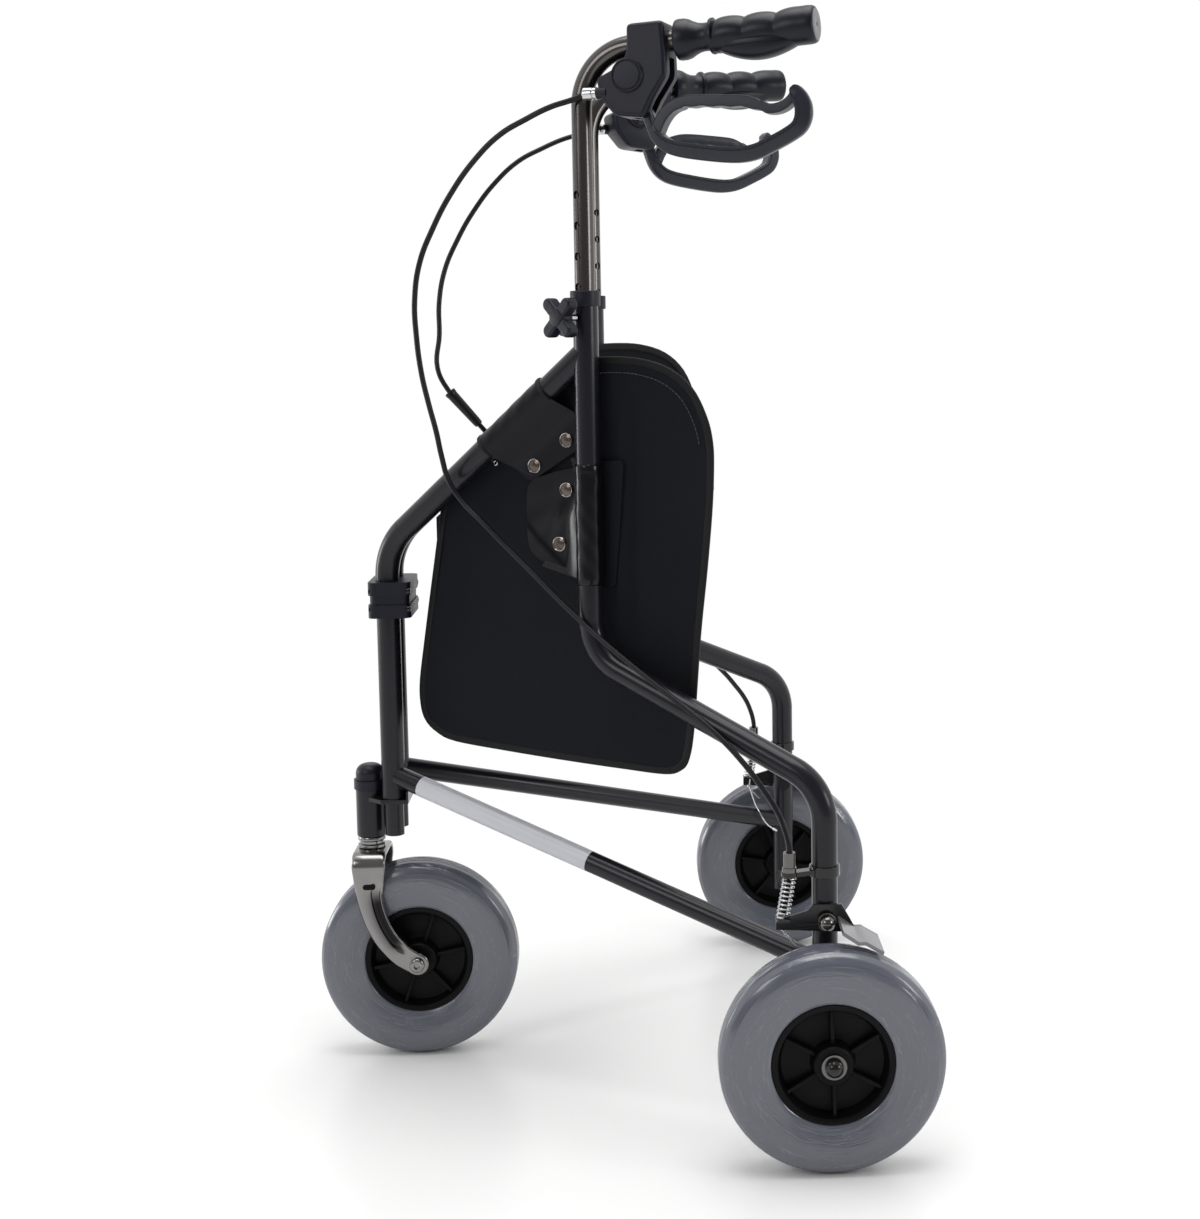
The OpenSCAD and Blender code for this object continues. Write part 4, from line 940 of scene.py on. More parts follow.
@dataclass
class Wheel:
    """One soft tyre on a black moulded hub, built round X at the origin and then placed."""

    bead_r: float = 51.7
    bead_half: float = 17.0
    rim_r: float = 46.5
    web_r: float = 45.5
    web_half: float = 5.0
    boss_r: float = 17.0
    boss_half: float = 19.9
    rib_count: int = 6
    rib_w: float = 3.2

    def tyre_outline(self) -> list[Point2]:
        """Half section of the tyre with its fine running ribs, as radius and width."""
        right: list[Point2] = [
            (self.bead_r - 0.1, 12.0), (self.bead_r, self.bead_half - 0.6),
            (self.bead_r + 1.2, self.bead_half + 0.7), (55.0, 18.3), (60.0, 19.6), (66.0, 21.2),
            (72.0, 22.5), (77.0, 23.0)]
        for i in range(1, 10):
            a = math.radians(90 - 9.5 * i)
            r = 79.0 + 16.0 * math.cos(a)
            w = 7.0 + 16.0 * math.sin(a)
            if i in (3, 5, 7):
                right += [(r + 0.05, w + 0.55), (r - 0.75, w + 0.1), (r + 0.15, w - 0.45)]
            else:
                right.append((r, w))
        right += [(94.95, 6.0), (94.2, 5.4), (94.2, 4.2), (95.0, 3.6), (95.0, 1.2), (94.2, 0.7)]
        left = [(r, -w) for r, w in reversed(right)]
        return right + left + [right[0]]

    def build_tyre(self, name: str) -> Piece:
        """Lathes the tyre and lays it on the X axis."""
        tyre = lathe(name, self.tyre_outline(), 128)
        around = tyre.data.attributes.new("round_wheel", "FLOAT_VECTOR", "POINT")
        for vertex, place in zip(tyre.data.vertices, around.data):
            x, y, z = vertex.co / MM
            r = math.hypot(x, y)
            place.vector = (x / r, y / r, (r + 0.6 * z) / 6.0)
        placed(tyre, turn_by(90, "Y"))
        smooth(tyre, 40)
        return tyre

    def build_hub(self, name: str, bore: float) -> Piece:
        """Builds the dished hub with its thin ribs.

        Args:
            name: name of the piece.
            bore: radius of the axle bore.

        Returns:
            The hub.
        """
        half: list[Point2] = [
            (self.bead_r - 0.15, self.bead_half - 0.2), (self.bead_r - 0.6, self.bead_half + 0.3),
            (self.rim_r + 1.5, self.bead_half + 0.1), (self.rim_r, self.bead_half - 0.8),
            (self.web_r - 0.6, 12.0), (self.web_r - 2.6, self.web_half + 1.2),
            (self.web_r - 5.0, self.web_half), (self.boss_r + 6.0, self.web_half + 0.4),
            (self.boss_r + 2.2, self.web_half + 2.0), (self.boss_r, 13.0),
            (self.boss_r - 0.3, self.boss_half - 1.2), (self.boss_r - 1.4, self.boss_half),
            (13.2, self.boss_half), (13.0, self.boss_half - 0.6)]
        inner = [(12.9, self.boss_half - 1.0), (bore + 0.5, self.boss_half - 1.2)]
        right = half + inner
        left = [(r, -w) for r, w in reversed(right)]
        body = lathe(name, right + left + [right[0]], 96)
        ribs = []
        for i in range(self.rib_count):
            rib = block("rib", (self.boss_r - 1.5, -self.rib_w / 2, -13.5),
                        (self.web_r, self.rib_w / 2, 13.5), 0.8)
            placed(rib, turn_by(30 + 360 / self.rib_count * i, "Z"))
            ribs.append(rib)
        hub = joined([body, *ribs], name)
        placed(hub, turn_by(90, "Y"))
        smooth(hub, 35)
        return hub

    def build(self, paints: Paints) -> None:
        """Makes the three wheels from one tyre and one hub."""
        rear = (LAYOUT.leg[0] + LAYOUT.wheel_out, LAYOUT.leg[1])
        places = {"front": (0.0, LAYOUT.hinge_y + LAYOUT.hinge_ahead), "left": rear,
                  "right": (-rear[0], rear[1])}
        tyre = self.build_tyre("tyre_pattern")
        hubs = {"front": self.build_hub("front_hub_dressed", 5.0),
                "left": self.build_hub("left_hub_dressed", 6.0)}
        hubs["right"] = twin(hubs["left"], "right_hub_dressed", Matrix.Identity(4))
        for word, (x, y) in places.items():
            spot = shift_by(x, y, LAYOUT.wheel_r)
            turned = Matrix.Rotation({"front": 0.2, "left": 0.55, "right": 0.9}[word], 4, "X")
            rubber = twin(tyre, f"{word}_tyre_dressed", spot @ turned)
            finish_piece(rubber, paints, "tyre_grey", f"{word}_wheel", [f"{word}_tyre"])
            hub = placed(hubs[word], spot @ turned)
            finish_piece(hub, paints, "hub_black", f"{word}_wheel", [f"{word}_hub"])
        bpy.data.objects.remove(tyre)


@dataclass
class Cable:
    """The two brake cables along their real routes; the right one is tucked behind the sloping tube."""

    radius: float = 2.5
    high: tuple[Point3, ...] = (
        (145.5, 2.5, 902.5), (142.5, -5.5, 902.5), (140, -18, 898), (137, -38, 892), (132, -60, 882),
        (127, -82, 870), (121, -105, 849), (115, -128, 819), (110, -144, 791), (106, -157, 761),
        (101, -163, 728), (96, -163, 697))
    low: tuple[Point3, ...] = (
        (92, -160, 664), (88, -155, 637), (84, -149, 610), (81, -145, 587), (80, -139, 564),
        (84, -127, 546), (92, -111, 530), (102, -88, 507), (113, -66, 486), (130, -34, 455), (147, -3, 428),
        (167, 32, 401), (186, 66, 376), (203, 96, 353), (219, 120, 329), (230, 134, 311), (239, 146, 293),
        (244, 152, 279), (247, 155, 268), (248, 156, 260), (248, 156, 253))
    tucked: tuple[Point3, ...] = (
        (89.7, -165.1, 664), (86.9, -153.7, 640.4), (87, -139.2, 623.7), (87.2, -124.7, 607),
        (92.6, -109.3, 588), (101.4, -92.5, 565), (111.4, -74, 538), (121.8, -54.6, 509),
        (131.6, -36.1, 481), (140.6, -18.1, 453))
    shared: int = 10
    tail: tuple[Point3, ...] = (
        (-249.3, 150.0, 194.8), (-240.0, 151.6, 188.5), (-227.5, 153.6, 182.6), (-213.0, 156.5, 176.7),
        (-206.0, 161.5, 167.8), (-206.5, 166.9, 159.7), (-209.5, 172.6, 154.3), (-213.0, 178.3, 149.8))

    def length(self, points: Sequence[Vector]) -> float:
        """Length along points in metres."""
        return sum((b - a).length for a, b in zip(points, points[1:]))

    def middle_line(self, side: Side) -> list[Vector]:
        """Fine points along a cable's smooth route, in metres."""
        rest = self.low if side is Side.LEFT else self.tucked + self.low[self.shared:]
        line = curve_of("route", self.high + rest)
        take(line)
        bpy.ops.object.convert(target="MESH")
        mesh = bpy.context.object
        points = [Vector((v.co.x * side.value, v.co.y, v.co.z)) for v in mesh.data.vertices]
        bpy.data.objects.remove(mesh)
        return points

    def build(self, paints: Paints) -> None:
        for side in Side:
            path = self.middle_line(side)
            cable = swept_rod(f"{side.word}_cable_dressed", [tuple(p / MM) for p in path], self.radius, 3,
                              bezier=False)
            paints.put(cable, "cable_black")
            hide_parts(f"{side.word}_brake_cable")
            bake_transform(cable)
            log.info("%s cable %.3f m", side.word, self.length(path))
        self.trim(paints)

    def trim(self, paints: Paints) -> None:
        """Adds the tapered plug on the right cable and the loose wire end at the right brake arm."""
        first, last = (Vector((-x, y, z)) * MM for x, y, z in (self.tucked[1], self.tucked[3]))
        plug = lathe("right_cable_plug", [
            (2.6, 0.0), (5.2, 0.0), (5.8, 0.6), (5.8, 3.4), (5.4, 4.2), (5.3, 8.0), (4.5, 40.0),
            (4.0, 43.6), (2.6, 44.2), (2.6, 0.0)], 32)
        placed(plug, Matrix.Translation(first) @ (last - first).to_track_quat("Z", "Y").to_matrix().to_4x4())
        smooth(plug, 40)
        finish_piece(plug, paints, "cable_black", "right_side", ["right_cable_sleeve"])
        crimp = lathe("crimp", [(0.0, 0.0), (1.0, 0.3), (1.5, 1.4), (1.5, 6.4), (1.1, 7.6), (0.0, 7.8)], 16)
        end, before = (Vector(p) * MM for p in (self.tail[-1], self.tail[-2]))
        placed(crimp, Matrix.Translation(end) @ (before - end).to_track_quat("Z", "Y").to_matrix().to_4x4())
        tail = joined([swept_rod("right_wire_tail", self.tail, 0.8, 4), crimp], "right_wire_tail")
        smooth(tail, 60)
        finish_piece(tail, paints, "bright_plate", "right_arm")


@dataclass
class Spring:
    """Return spring on each brake arm."""

    top: Point3 = (10.5, -31.0, 237.1)
    low: Point3 = (11.9, -37.0, 203.6)
    radius: float = 5.3
    wire_r: float = 0.85
    curls: int = 9
    core_r: float = 2.3
    pressed: float = 0.93

    def build(self, paints: Paints) -> None:
        """Winds one coil and mirrors it, with a black core inside each."""
        steps = self.curls * 14
        leg = Vector((LAYOUT.leg[0], LAYOUT.leg[1], 0))
        points = []
        for i in range(steps + 1):
            t = i / steps
            a = 2 * math.pi * self.curls * t
            mid = Vector(self.top).lerp(Vector(self.low), t)
            points.append(tuple(leg + mid + Vector((math.cos(a), math.sin(a), 0)) * self.radius))
        left = swept_rod("left_spring_dressed", points, self.wire_r, 2, bezier=False)
        right = twin(left, "right_spring_dressed")
        ends = [tuple(leg + Vector(self.top).lerp(Vector(self.low), t)) for t in (0.0, 0.9)]
        core = swept_rod("left_spring_core", ends, self.core_r, 3, bezier=False)
        finish_pair(core, paints, "cable_black", "side")
        for side, obj in ((Side.LEFT, left), (Side.RIGHT, right)):
            finish_piece(obj, paints, "bright_plate", f"{side.word}_side",
                         [f"{side.word}_brake_spring"])
            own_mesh(obj)


@dataclass
class Grip:
    """Soft hand grip with finger bumps, palm rest and a plain end."""

    valleys: tuple[float, ...] = (123.0, 150.5, 178.5, 208.0)
    depth: float = 3.3
    bore_r: float = 9.05
    keel_from: float = 125.0
    keel_to: float = 199.0

    def radius(self, along: float) -> float:
        """Radius of the plain grip at a distance along the handle."""
        knots = ((89.0, 15.2), (90.0, 16.9), (92.0, 17.4), (97.0, 17.3), (100.5, 16.4), (104.5, 14.2),
                 (109.0, 12.4), (113.0, 11.8), (117.0, 11.9), (119.2, 12.6), (119.8, 14.8), (120.8, 15.3),
                 (122.4, 15.3), (123.2, 14.7), (125.0, 14.9), (130.0, 15.2), (176.0, 15.3), (184.0, 15.7),
                 (194.0, 16.1), (206.0, 16.1), (209.6, 15.7), (211.4, 14.7), (212.0, 13.4))
        for (a, ra), (b, rb) in zip(knots, knots[1:]):
            if along <= b:
                return ra + (rb - ra) * (along - a) / (b - a)
        return knots[-1][1]

    def bump(self, along: float) -> float:
        """How deep the valley between two finger bumps is at a distance, from 0 to 1."""
        for a, b in zip(self.valleys, self.valleys[1:]):
            if a <= along <= b:
                return 1.0 - math.sin(math.pi * (along - a) / (b - a)) ** 0.5
        return 0.0

    def shape(self) -> Piece:
        """Skins the grip, with the bumps on its upper side."""
        places = [89.0, 90.0, 91.0, 92.0, 94.0, 97.0, 99.0, 100.5, 102.5, 104.5, 107.0, 109.0, 111.0, 113.0,
                  117.0, 118.6, 119.2, 119.8, 120.8, 122.4, 123.2, 124.0, 125.5]
        places += [127.0 + 1.5 * i for i in range(54)] + [208.3, 209.6, 210.7, 211.4, 212.0]
        rows: list[list[Point3]] = []
        for along in places:
            row: list[Point3] = []
            for k in range(64):
                a = 2 * math.pi * k / 64
                turn = a if a <= math.pi else 2 * math.pi - a
                top = max(0.0, math.cos(min(turn * 0.72, math.pi / 2)))
                fade = 1.0 if along < 185 else max(0.0, (205 - along) / 20)
                r = self.radius(along) - self.depth * self.bump(along) * top * fade
                row.append((r * math.sin(a), -r * math.cos(a), along))
            rows.append(row)
        rows.append([(self.bore_r * math.sin(2 * math.pi * k / 64),
                      -self.bore_r * math.cos(2 * math.pi * k / 64), places[-1]) for k in range(64)])
        mouth = self.radius(places[0])
        rows.insert(0, [(self.bore_r * x / mouth, self.bore_r * y / mouth, z) for x, y, z in rows[0]])
        return loft("grip_body", rows, Ends.OPEN)

    def palm(self) -> Piece:
        """Lofts the keel below the grip: a shelf with a rounded belly."""
        rows: list[list[Point3]] = []
        count = 30
        for i in range(count + 1):
            t = i / count
            along = self.keel_from + (self.keel_to - self.keel_from) * t
            swell = max(0.0, math.sin(math.pi * t))
            deep = 12.6 + 11.4 * swell ** 0.8
            wide = 5.0 + 9.6 * swell ** 0.5
            shelf = 11.2
            row: list[Point3] = [
                (wide, 7.5, along), (wide + 0.4, shelf - 0.6, along), (wide + 0.2, shelf + 0.2, along)]
            for k in range(13):
                a = math.pi * k / 12
                drop = shelf + 0.5 + (deep - shelf - 0.5) * math.sin(a) ** 0.8
                row.append(((wide - 0.5) * math.cos(a), drop, along))
            row += [(-wide - 0.2, shelf + 0.2, along), (-wide - 0.4, shelf - 0.6, along), (-wide, 7.5, along)]
            rows.append(row)
        return loft("grip_keel", rows, Ends.CAPPED)

    def build(self, paints: Paints) -> None:
        """Makes both grips and their light ends."""
        body = joined([self.shape(), self.palm()], "left_grip_dressed")
        placed(body, LAYOUT.grip_matrix())
        smooth(body, 50)
        cap = lathe("left_grip_end", [
            (1.7, 209.0), (1.7, 212.1), (2.3, 212.5), (12.4, 212.6), (13.1, 212.3), (13.5, 211.4),
            (13.5, 209.0), (1.7, 209.0)], 48)
        placed(cap, LAYOUT.grip_matrix())
        smooth(cap, 35)
        finish_pair(body, paints, "soft_grip", "handle", "grip")
        finish_pair(cap, paints, "grip_end_grey", "handle")


@dataclass
class BrakeLever:
    """Loop lever with a hooked tip, in the handle's own plane: distance behind the upright and height."""

    band: tuple[Point2, ...] = (
        (61.0, 886.0), (64.5, 876.0), (69.0, 866.5), (76.5, 858.8), (88.0, 854.0), (108.0, 850.4),
        (130.0, 847.6), (146.0, 847.0), (160.0, 849.4), (175.0, 855.8), (189.0, 862.8), (197.0, 868.6),
        (200.6, 876.5), (200.6, 885.0), (197.8, 892.5), (193.9, 898.4), (192.2, 900.4), (191.2, 901.4))
    band_depth: tuple[float, ...] = (
        9.0, 9.6, 10.4, 11.6, 12.6, 13.0, 13.0, 13.0, 12.8, 12.4, 12.2, 12.4, 13.2, 13.8, 13.6, 12.4, 10.0,
        7.6, 4.0)
    upper: tuple[Point2, ...] = (
        (193.0, 898.4), (190.8, 892.6), (186.0, 887.6), (179.0, 884.6), (171.0, 884.2), (162.0, 887.2),
        (151.0, 890.8), (128.0, 892.4), (106.0, 893.4), (93.0, 892.4), (83.0, 888.2), (75.5, 880.0),
        (70.0, 869.0))
    upper_depth: tuple[float, ...] = (4.6, 6.6, 8.0, 8.4, 8.4, 9.0, 10.4, 10.6, 10.4, 10.0, 10.0, 10.0, 10.0)
    root: tuple[Point2, ...] = ((49.0, 916.0), (54.0, 903.0), (60.0, 889.0), (66.0, 873.0))
    width: float = 15.5
    grooved: Point2 = (95.0, 168.0)
    groove_below: float = 890.5
    groove_start: float = 112.0
    groove_pitch: float = 17.0
    groove_deep: float = 1.1

    def section(self, depth: float) -> list[Point2]:
        """Section of the upper bar at a depth."""
        return rounded_rect(self.width, depth, min(1.3, depth * 0.4), 3)

    def ribbon(self, depth: float) -> list[Point2]:
        """Section of the band at a depth: a thin lip inside the loop, then sides that lean in."""
        k = min(1.0, depth / 11.0)
        top = depth / 2
        half = self.width / 2
        right = [(half - 0.5 * k, top), (half, top - 0.5 * k), (half, top - 1.9 * k),
                 (half - 0.3 * k, top - 2.3 * k), (half - 1.1 * k, top - 2.6 * k),
                 (half - 1.1 * k, top - 3.0 * k), (half - 0.5 * k, top - 3.5 * k),
                 (half - 1.3 * k, top - 6.2 * k), (half - 3.0 * k, 1.8 * k - top),
                 (half - 3.9 * k, 0.6 * k - top), (half - 5.2 * k, -top)]
        return right + [(-u, v) for u, v in reversed(right)]

    def build(self, paints: Paints) -> None:
        """Sweeps the band, its upper bar and its root, and mirrors the whole."""
        band = smooth_line(self.band, 5)
        upper = smooth_line(self.upper, 5)
        low = flat_bar("left_lever_dressed", band, spread(self.band_depth, len(band)), self.ribbon,
                       Ends.CAPPED)
        top = flat_bar("lever_top", upper, spread(self.upper_depth, len(upper)), self.section, Ends.CAPPED)
        for vertex in top.data.vertices:
            along = vertex.co.y / MM
            if self.grooved[0] < along < self.grooved[1] and vertex.co.z / MM < self.groove_below:
                wave = math.cos(2 * math.pi * (along - self.groove_start) / self.groove_pitch)
                vertex.co.z += self.groove_deep * MM * (0.5 + 0.5 * wave)
        root = flat_bar("lever_root", self.root, [10.0] * 4, lambda d: rounded_rect(10.8, d, 2.5),
                        Ends.CAPPED)
        eye = lathe("lever_eye", [
            (3.6, -5.4), (8.6, -5.4), (9.0, -4.9), (9.0, 4.9), (8.6, 5.4), (3.6, 5.4), (3.6, -5.4)], 40)
        placed(eye, shift_by(0, *self.root[0]) @ turn_by(90, "Y"))
        lever = joined([low, top, root, eye], "left_lever_dressed")
        placed(lever, LAYOUT.handle_matrix())
        smooth(lever, 45)
        even_faces(lever)
        finish_pair(lever, paints, "lever_black", "lever", "brake_lever")


@dataclass
class Fork:
    """Bright swivel fork: one bent strap with a channelled arm on each side of the wheel."""

    half: float = 27.0
    thick: float = 5.0
    # Weight of the channel's painted shade for each column of the section.
    shade_columns: tuple[tuple[int, float], ...] = (
        (3, 0.08), (4, 0.2), (5, 0.5), (6, 0.9), (7, 1.0), (8, 1.0), (9, 0.9), (10, 0.25))
    channel: tuple[float, ...] = (8.0, 10.0, 84.0, 14.0)
    # Where the painted shade rises and falls along the arm, read at one point of the section.
    shaded: tuple[float, ...] = (11.0, 7.0, 76.0, 14.0)
    shade_point: int = 6
    slot_half: float = 3.4
    slot_r: float = 2.6
    slot_t: float = 1.6
    slot_sunk: float = 0.2
    slot_spot: Point2 = (-43.6, 77.6)
    top_z: float = 204.0
    crown_y: float = -44.0
    crown_w: float = 32.0
    bend_r: float = 11.0
    middle: tuple[Point2, ...] = (
        (0.0, 0.0), (-8.5, 5.0), (-17.0, 11.2), (-25.5, 20.0), (-32.0, 30.0), (-37.5, 42.0), (-41.5, 55.0),
        (-43.6, 68.0), (-44.0, 80.0), (-44.0, 92.0))
    widths: tuple[float, ...] = (21.0, 22.0, 22.6, 23.0, 23.4, 23.8, 24.2, 25.2, 28.6, 31.6)

    def half_strap(self) -> list[tuple[Vector, Vector, Vector, float, float]]:
        """Stations of the near half, from the axle end to the middle of the crown.

        Returns:
            Middle point, direction across, outward direction, width and share of the channel of each.
        """
        line = smooth_line(self.middle, 4)
        widths = spread(self.widths, len(line))
        x = self.half + self.thick / 2
        out = []
        for i, (y, z) in enumerate(line):
            a, b = line[max(i - 1, 0)], line[min(i + 1, len(line) - 1)]
            run = Vector((0.0, b[0] - a[0], b[1] - a[1])).normalized()
            out.append((Vector((x, y, z)), Vector((0.0, run.z, -run.y)), Vector((1.0, 0.0, 0.0)), widths[i],
                        ramped(z, *self.channel)))
        top = self.top_z - LAYOUT.wheel_r - self.thick / 2
        for i in range(9):
            a = math.radians(90 * i / 8)
            place = Vector((x - self.bend_r + self.bend_r * math.cos(a), self.crown_y,
                            top - self.bend_r + self.bend_r * math.sin(a)))
            out.append((place, Vector((0, 1, 0)), Vector((math.cos(a), 0, math.sin(a))), self.crown_w, 0.0))
        out.append((Vector((0, self.crown_y, top)), Vector((0, 1, 0)), Vector((0, 0, 1)), self.crown_w, 0.0))
        return out

    def section(self, station: tuple[Vector, Vector, Vector, float, float]) -> list[Point3]:
        """Section of the strap at a station, with the rear channel as deep as its share says."""
        centre, across, outward, width, share = station
        back = ((1.0, -0.2), (0.96, -2.0), (0.9, -2.5), (-0.9, -2.5), (-0.96, -2.0))
        plain = ((-1.0, -0.2), (-0.97, 1.3), (-0.9, 2.1), (-0.78, 2.5), (-0.3, 2.5), (0.1, 2.5), (0.2, 2.5),
                 (0.28, 2.5), (0.6, 2.5), (0.76, 2.5), (0.82, 2.5), (0.9, 2.2), (0.97, 1.4), *back)
        channel = ((-1.0, -1.6), (-0.95, -0.2), (-0.84, 1.3), (-0.64, 2.4), (-0.38, 2.9), (-0.1, 2.8),
                   (0.1, 2.2), (0.18, 0.2), (0.5, -0.3), (0.72, 0.2), (0.8, 1.7), (0.88, 2.1), (0.97, 1.4),
                   *back)
        row = []
        for (u0, t0), (u1, t1) in zip(plain, channel):
            u, t = u0 + (u1 - u0) * share, t0 + (t1 - t0) * share
            row.append(tuple(centre + across * (u * width / 2) + outward * t))
        return row

    def shade(self, strap: Piece, rows: Sequence[Sequence[Point3]]) -> None:
        """Notes on the strap's points how much painted shade darkens the channel there.

        Args:
            strap: the strap, whose faces run row by row.
            rows: its sections.
        """
        wide = len(rows[0])
        total = [0.0] * len(strap.data.vertices)
        count = [0] * len(strap.data.vertices)
        for face in strap.data.polygons:
            row, column = divmod(face.index, wide)
            pair = [line[self.shade_point][2] for line in rows[row:row + 2]]
            along = ramped(sum(pair) / 2, *self.shaded) if len(pair) == 2 else 0.0
            for corner in face.vertices:
                total[corner] += along * dict(self.shade_columns).get(column, 0.0)
                count[corner] += 1
        note = strap.data.attributes.new("channel_shade", "FLOAT", "POINT")
        for place, value, times in zip(note.data, total, count):
            place.value = value / max(1, times)

    def axle(self) -> Piece:
        """Lathes the axle with its spacers and recessed screw heads, along X."""
        half = [(0.0, 34.4), (2.4, 34.4), (2.8, 36.3), (3.4, 36.7), (5.2, 36.6), (6.6, 35.7), (7.1, 34.2),
                (7.1, 32.0), (5.0, 32.0), (5.0, 26.9), (8.0, 26.9), (8.0, 20.3), (5.0, 20.3)]
        axle = lathe("front_axle_dressed", half + [(r, -x) for r, x in reversed(half)], 40)
        placed(axle, turn_by(90, "Y"))
        return axle

    def cup(self) -> Piece:
        """Lathes the bearing cup between the crown and the head tube."""
        cup = lathe("stem_cup", [
            (7.1, 204.2), (12.4, 204.2), (13.2, 205.0), (13.2, 207.4), (12.2, 208.2), (11.0, 208.5),
            (11.0, 210.8), (12.6, 211.2), (13.2, 212.0), (13.2, 214.5), (12.5, 215.4), (7.1, 215.4),
            (7.1, 204.2)], 56)
        return placed(cup, shift_by(0, LAYOUT.hinge_y - LAYOUT.stem_ahead, 0))

    def build(self, paints: Paints) -> None:
        """Builds the strap, its round ends, a black sheet of painted shade in each slot, the axle and the
        bearing cup.
        """
        near = self.half_strap()
        far = [(Vector((-c.x, c.y, c.z)), w, Vector((-o.x, o.y, o.z)), k, s)
               for c, w, o, k, s in reversed(near[:-1])]
        rows = [self.section(s) for s in near + far]
        strap = loft("fork_dressed", rows, Ends.CAPPED)
        self.shade(strap, rows)
        pieces = [strap]
        slots = []
        for s in (-1, 1):
            turn = turn_by(90 * s, "Y")
            eye = lathe("fork_eye", [
                (5.0, -2.5), (9.9, -2.5), (10.6, -1.8), (10.6, 1.6), (10.0, 2.3), (8.8, 2.55), (5.0, 2.6),
                (5.0, -2.5)], 40)
            out = shift_by(s * (self.half + self.thick / 2), 0, 0)
            pieces.append(placed(eye, out @ turn))
            # Each slot is drawn as a black oval sheet on the arm's face: painted shade standing in for the
            # hole.
            oval = [(k * self.slot_half + self.slot_r * math.sin(a + k * math.pi / 2),
                     self.slot_r * math.cos(a + k * math.pi / 2)) for k in (1, -1)
                    for a in (math.radians(18 * i - 90) for i in range(11))]
            slot = outline_mesh("fork_slot", oval, self.slot_t)
            spot = shift_by(s * (self.half + self.thick - self.slot_sunk), *self.slot_spot)
            slots.append(placed(slot, spot))
        move = shift_by(0, LAYOUT.hinge_y + LAYOUT.hinge_ahead, LAYOUT.wheel_r)
        fork = placed(joined(pieces, "fork_dressed"), move)
        smooth(fork, 40)
        finish_piece(fork, paints, "fork_strap", "caster", ["caster_fork"])
        # The slot sheets are painted black as shade.
        finish_piece(placed(joined(slots, "fork_slots"), move), paints, "hub_black", "caster")
        axle = placed(self.axle(), move)
        cup = self.cup()
        smooth(axle, 40)
        smooth(cup, 40)
        finish_piece(axle, paints, "fork_chrome", "caster", ["front_axle"])
        finish_piece(cup, paints, "fork_chrome", "caster")


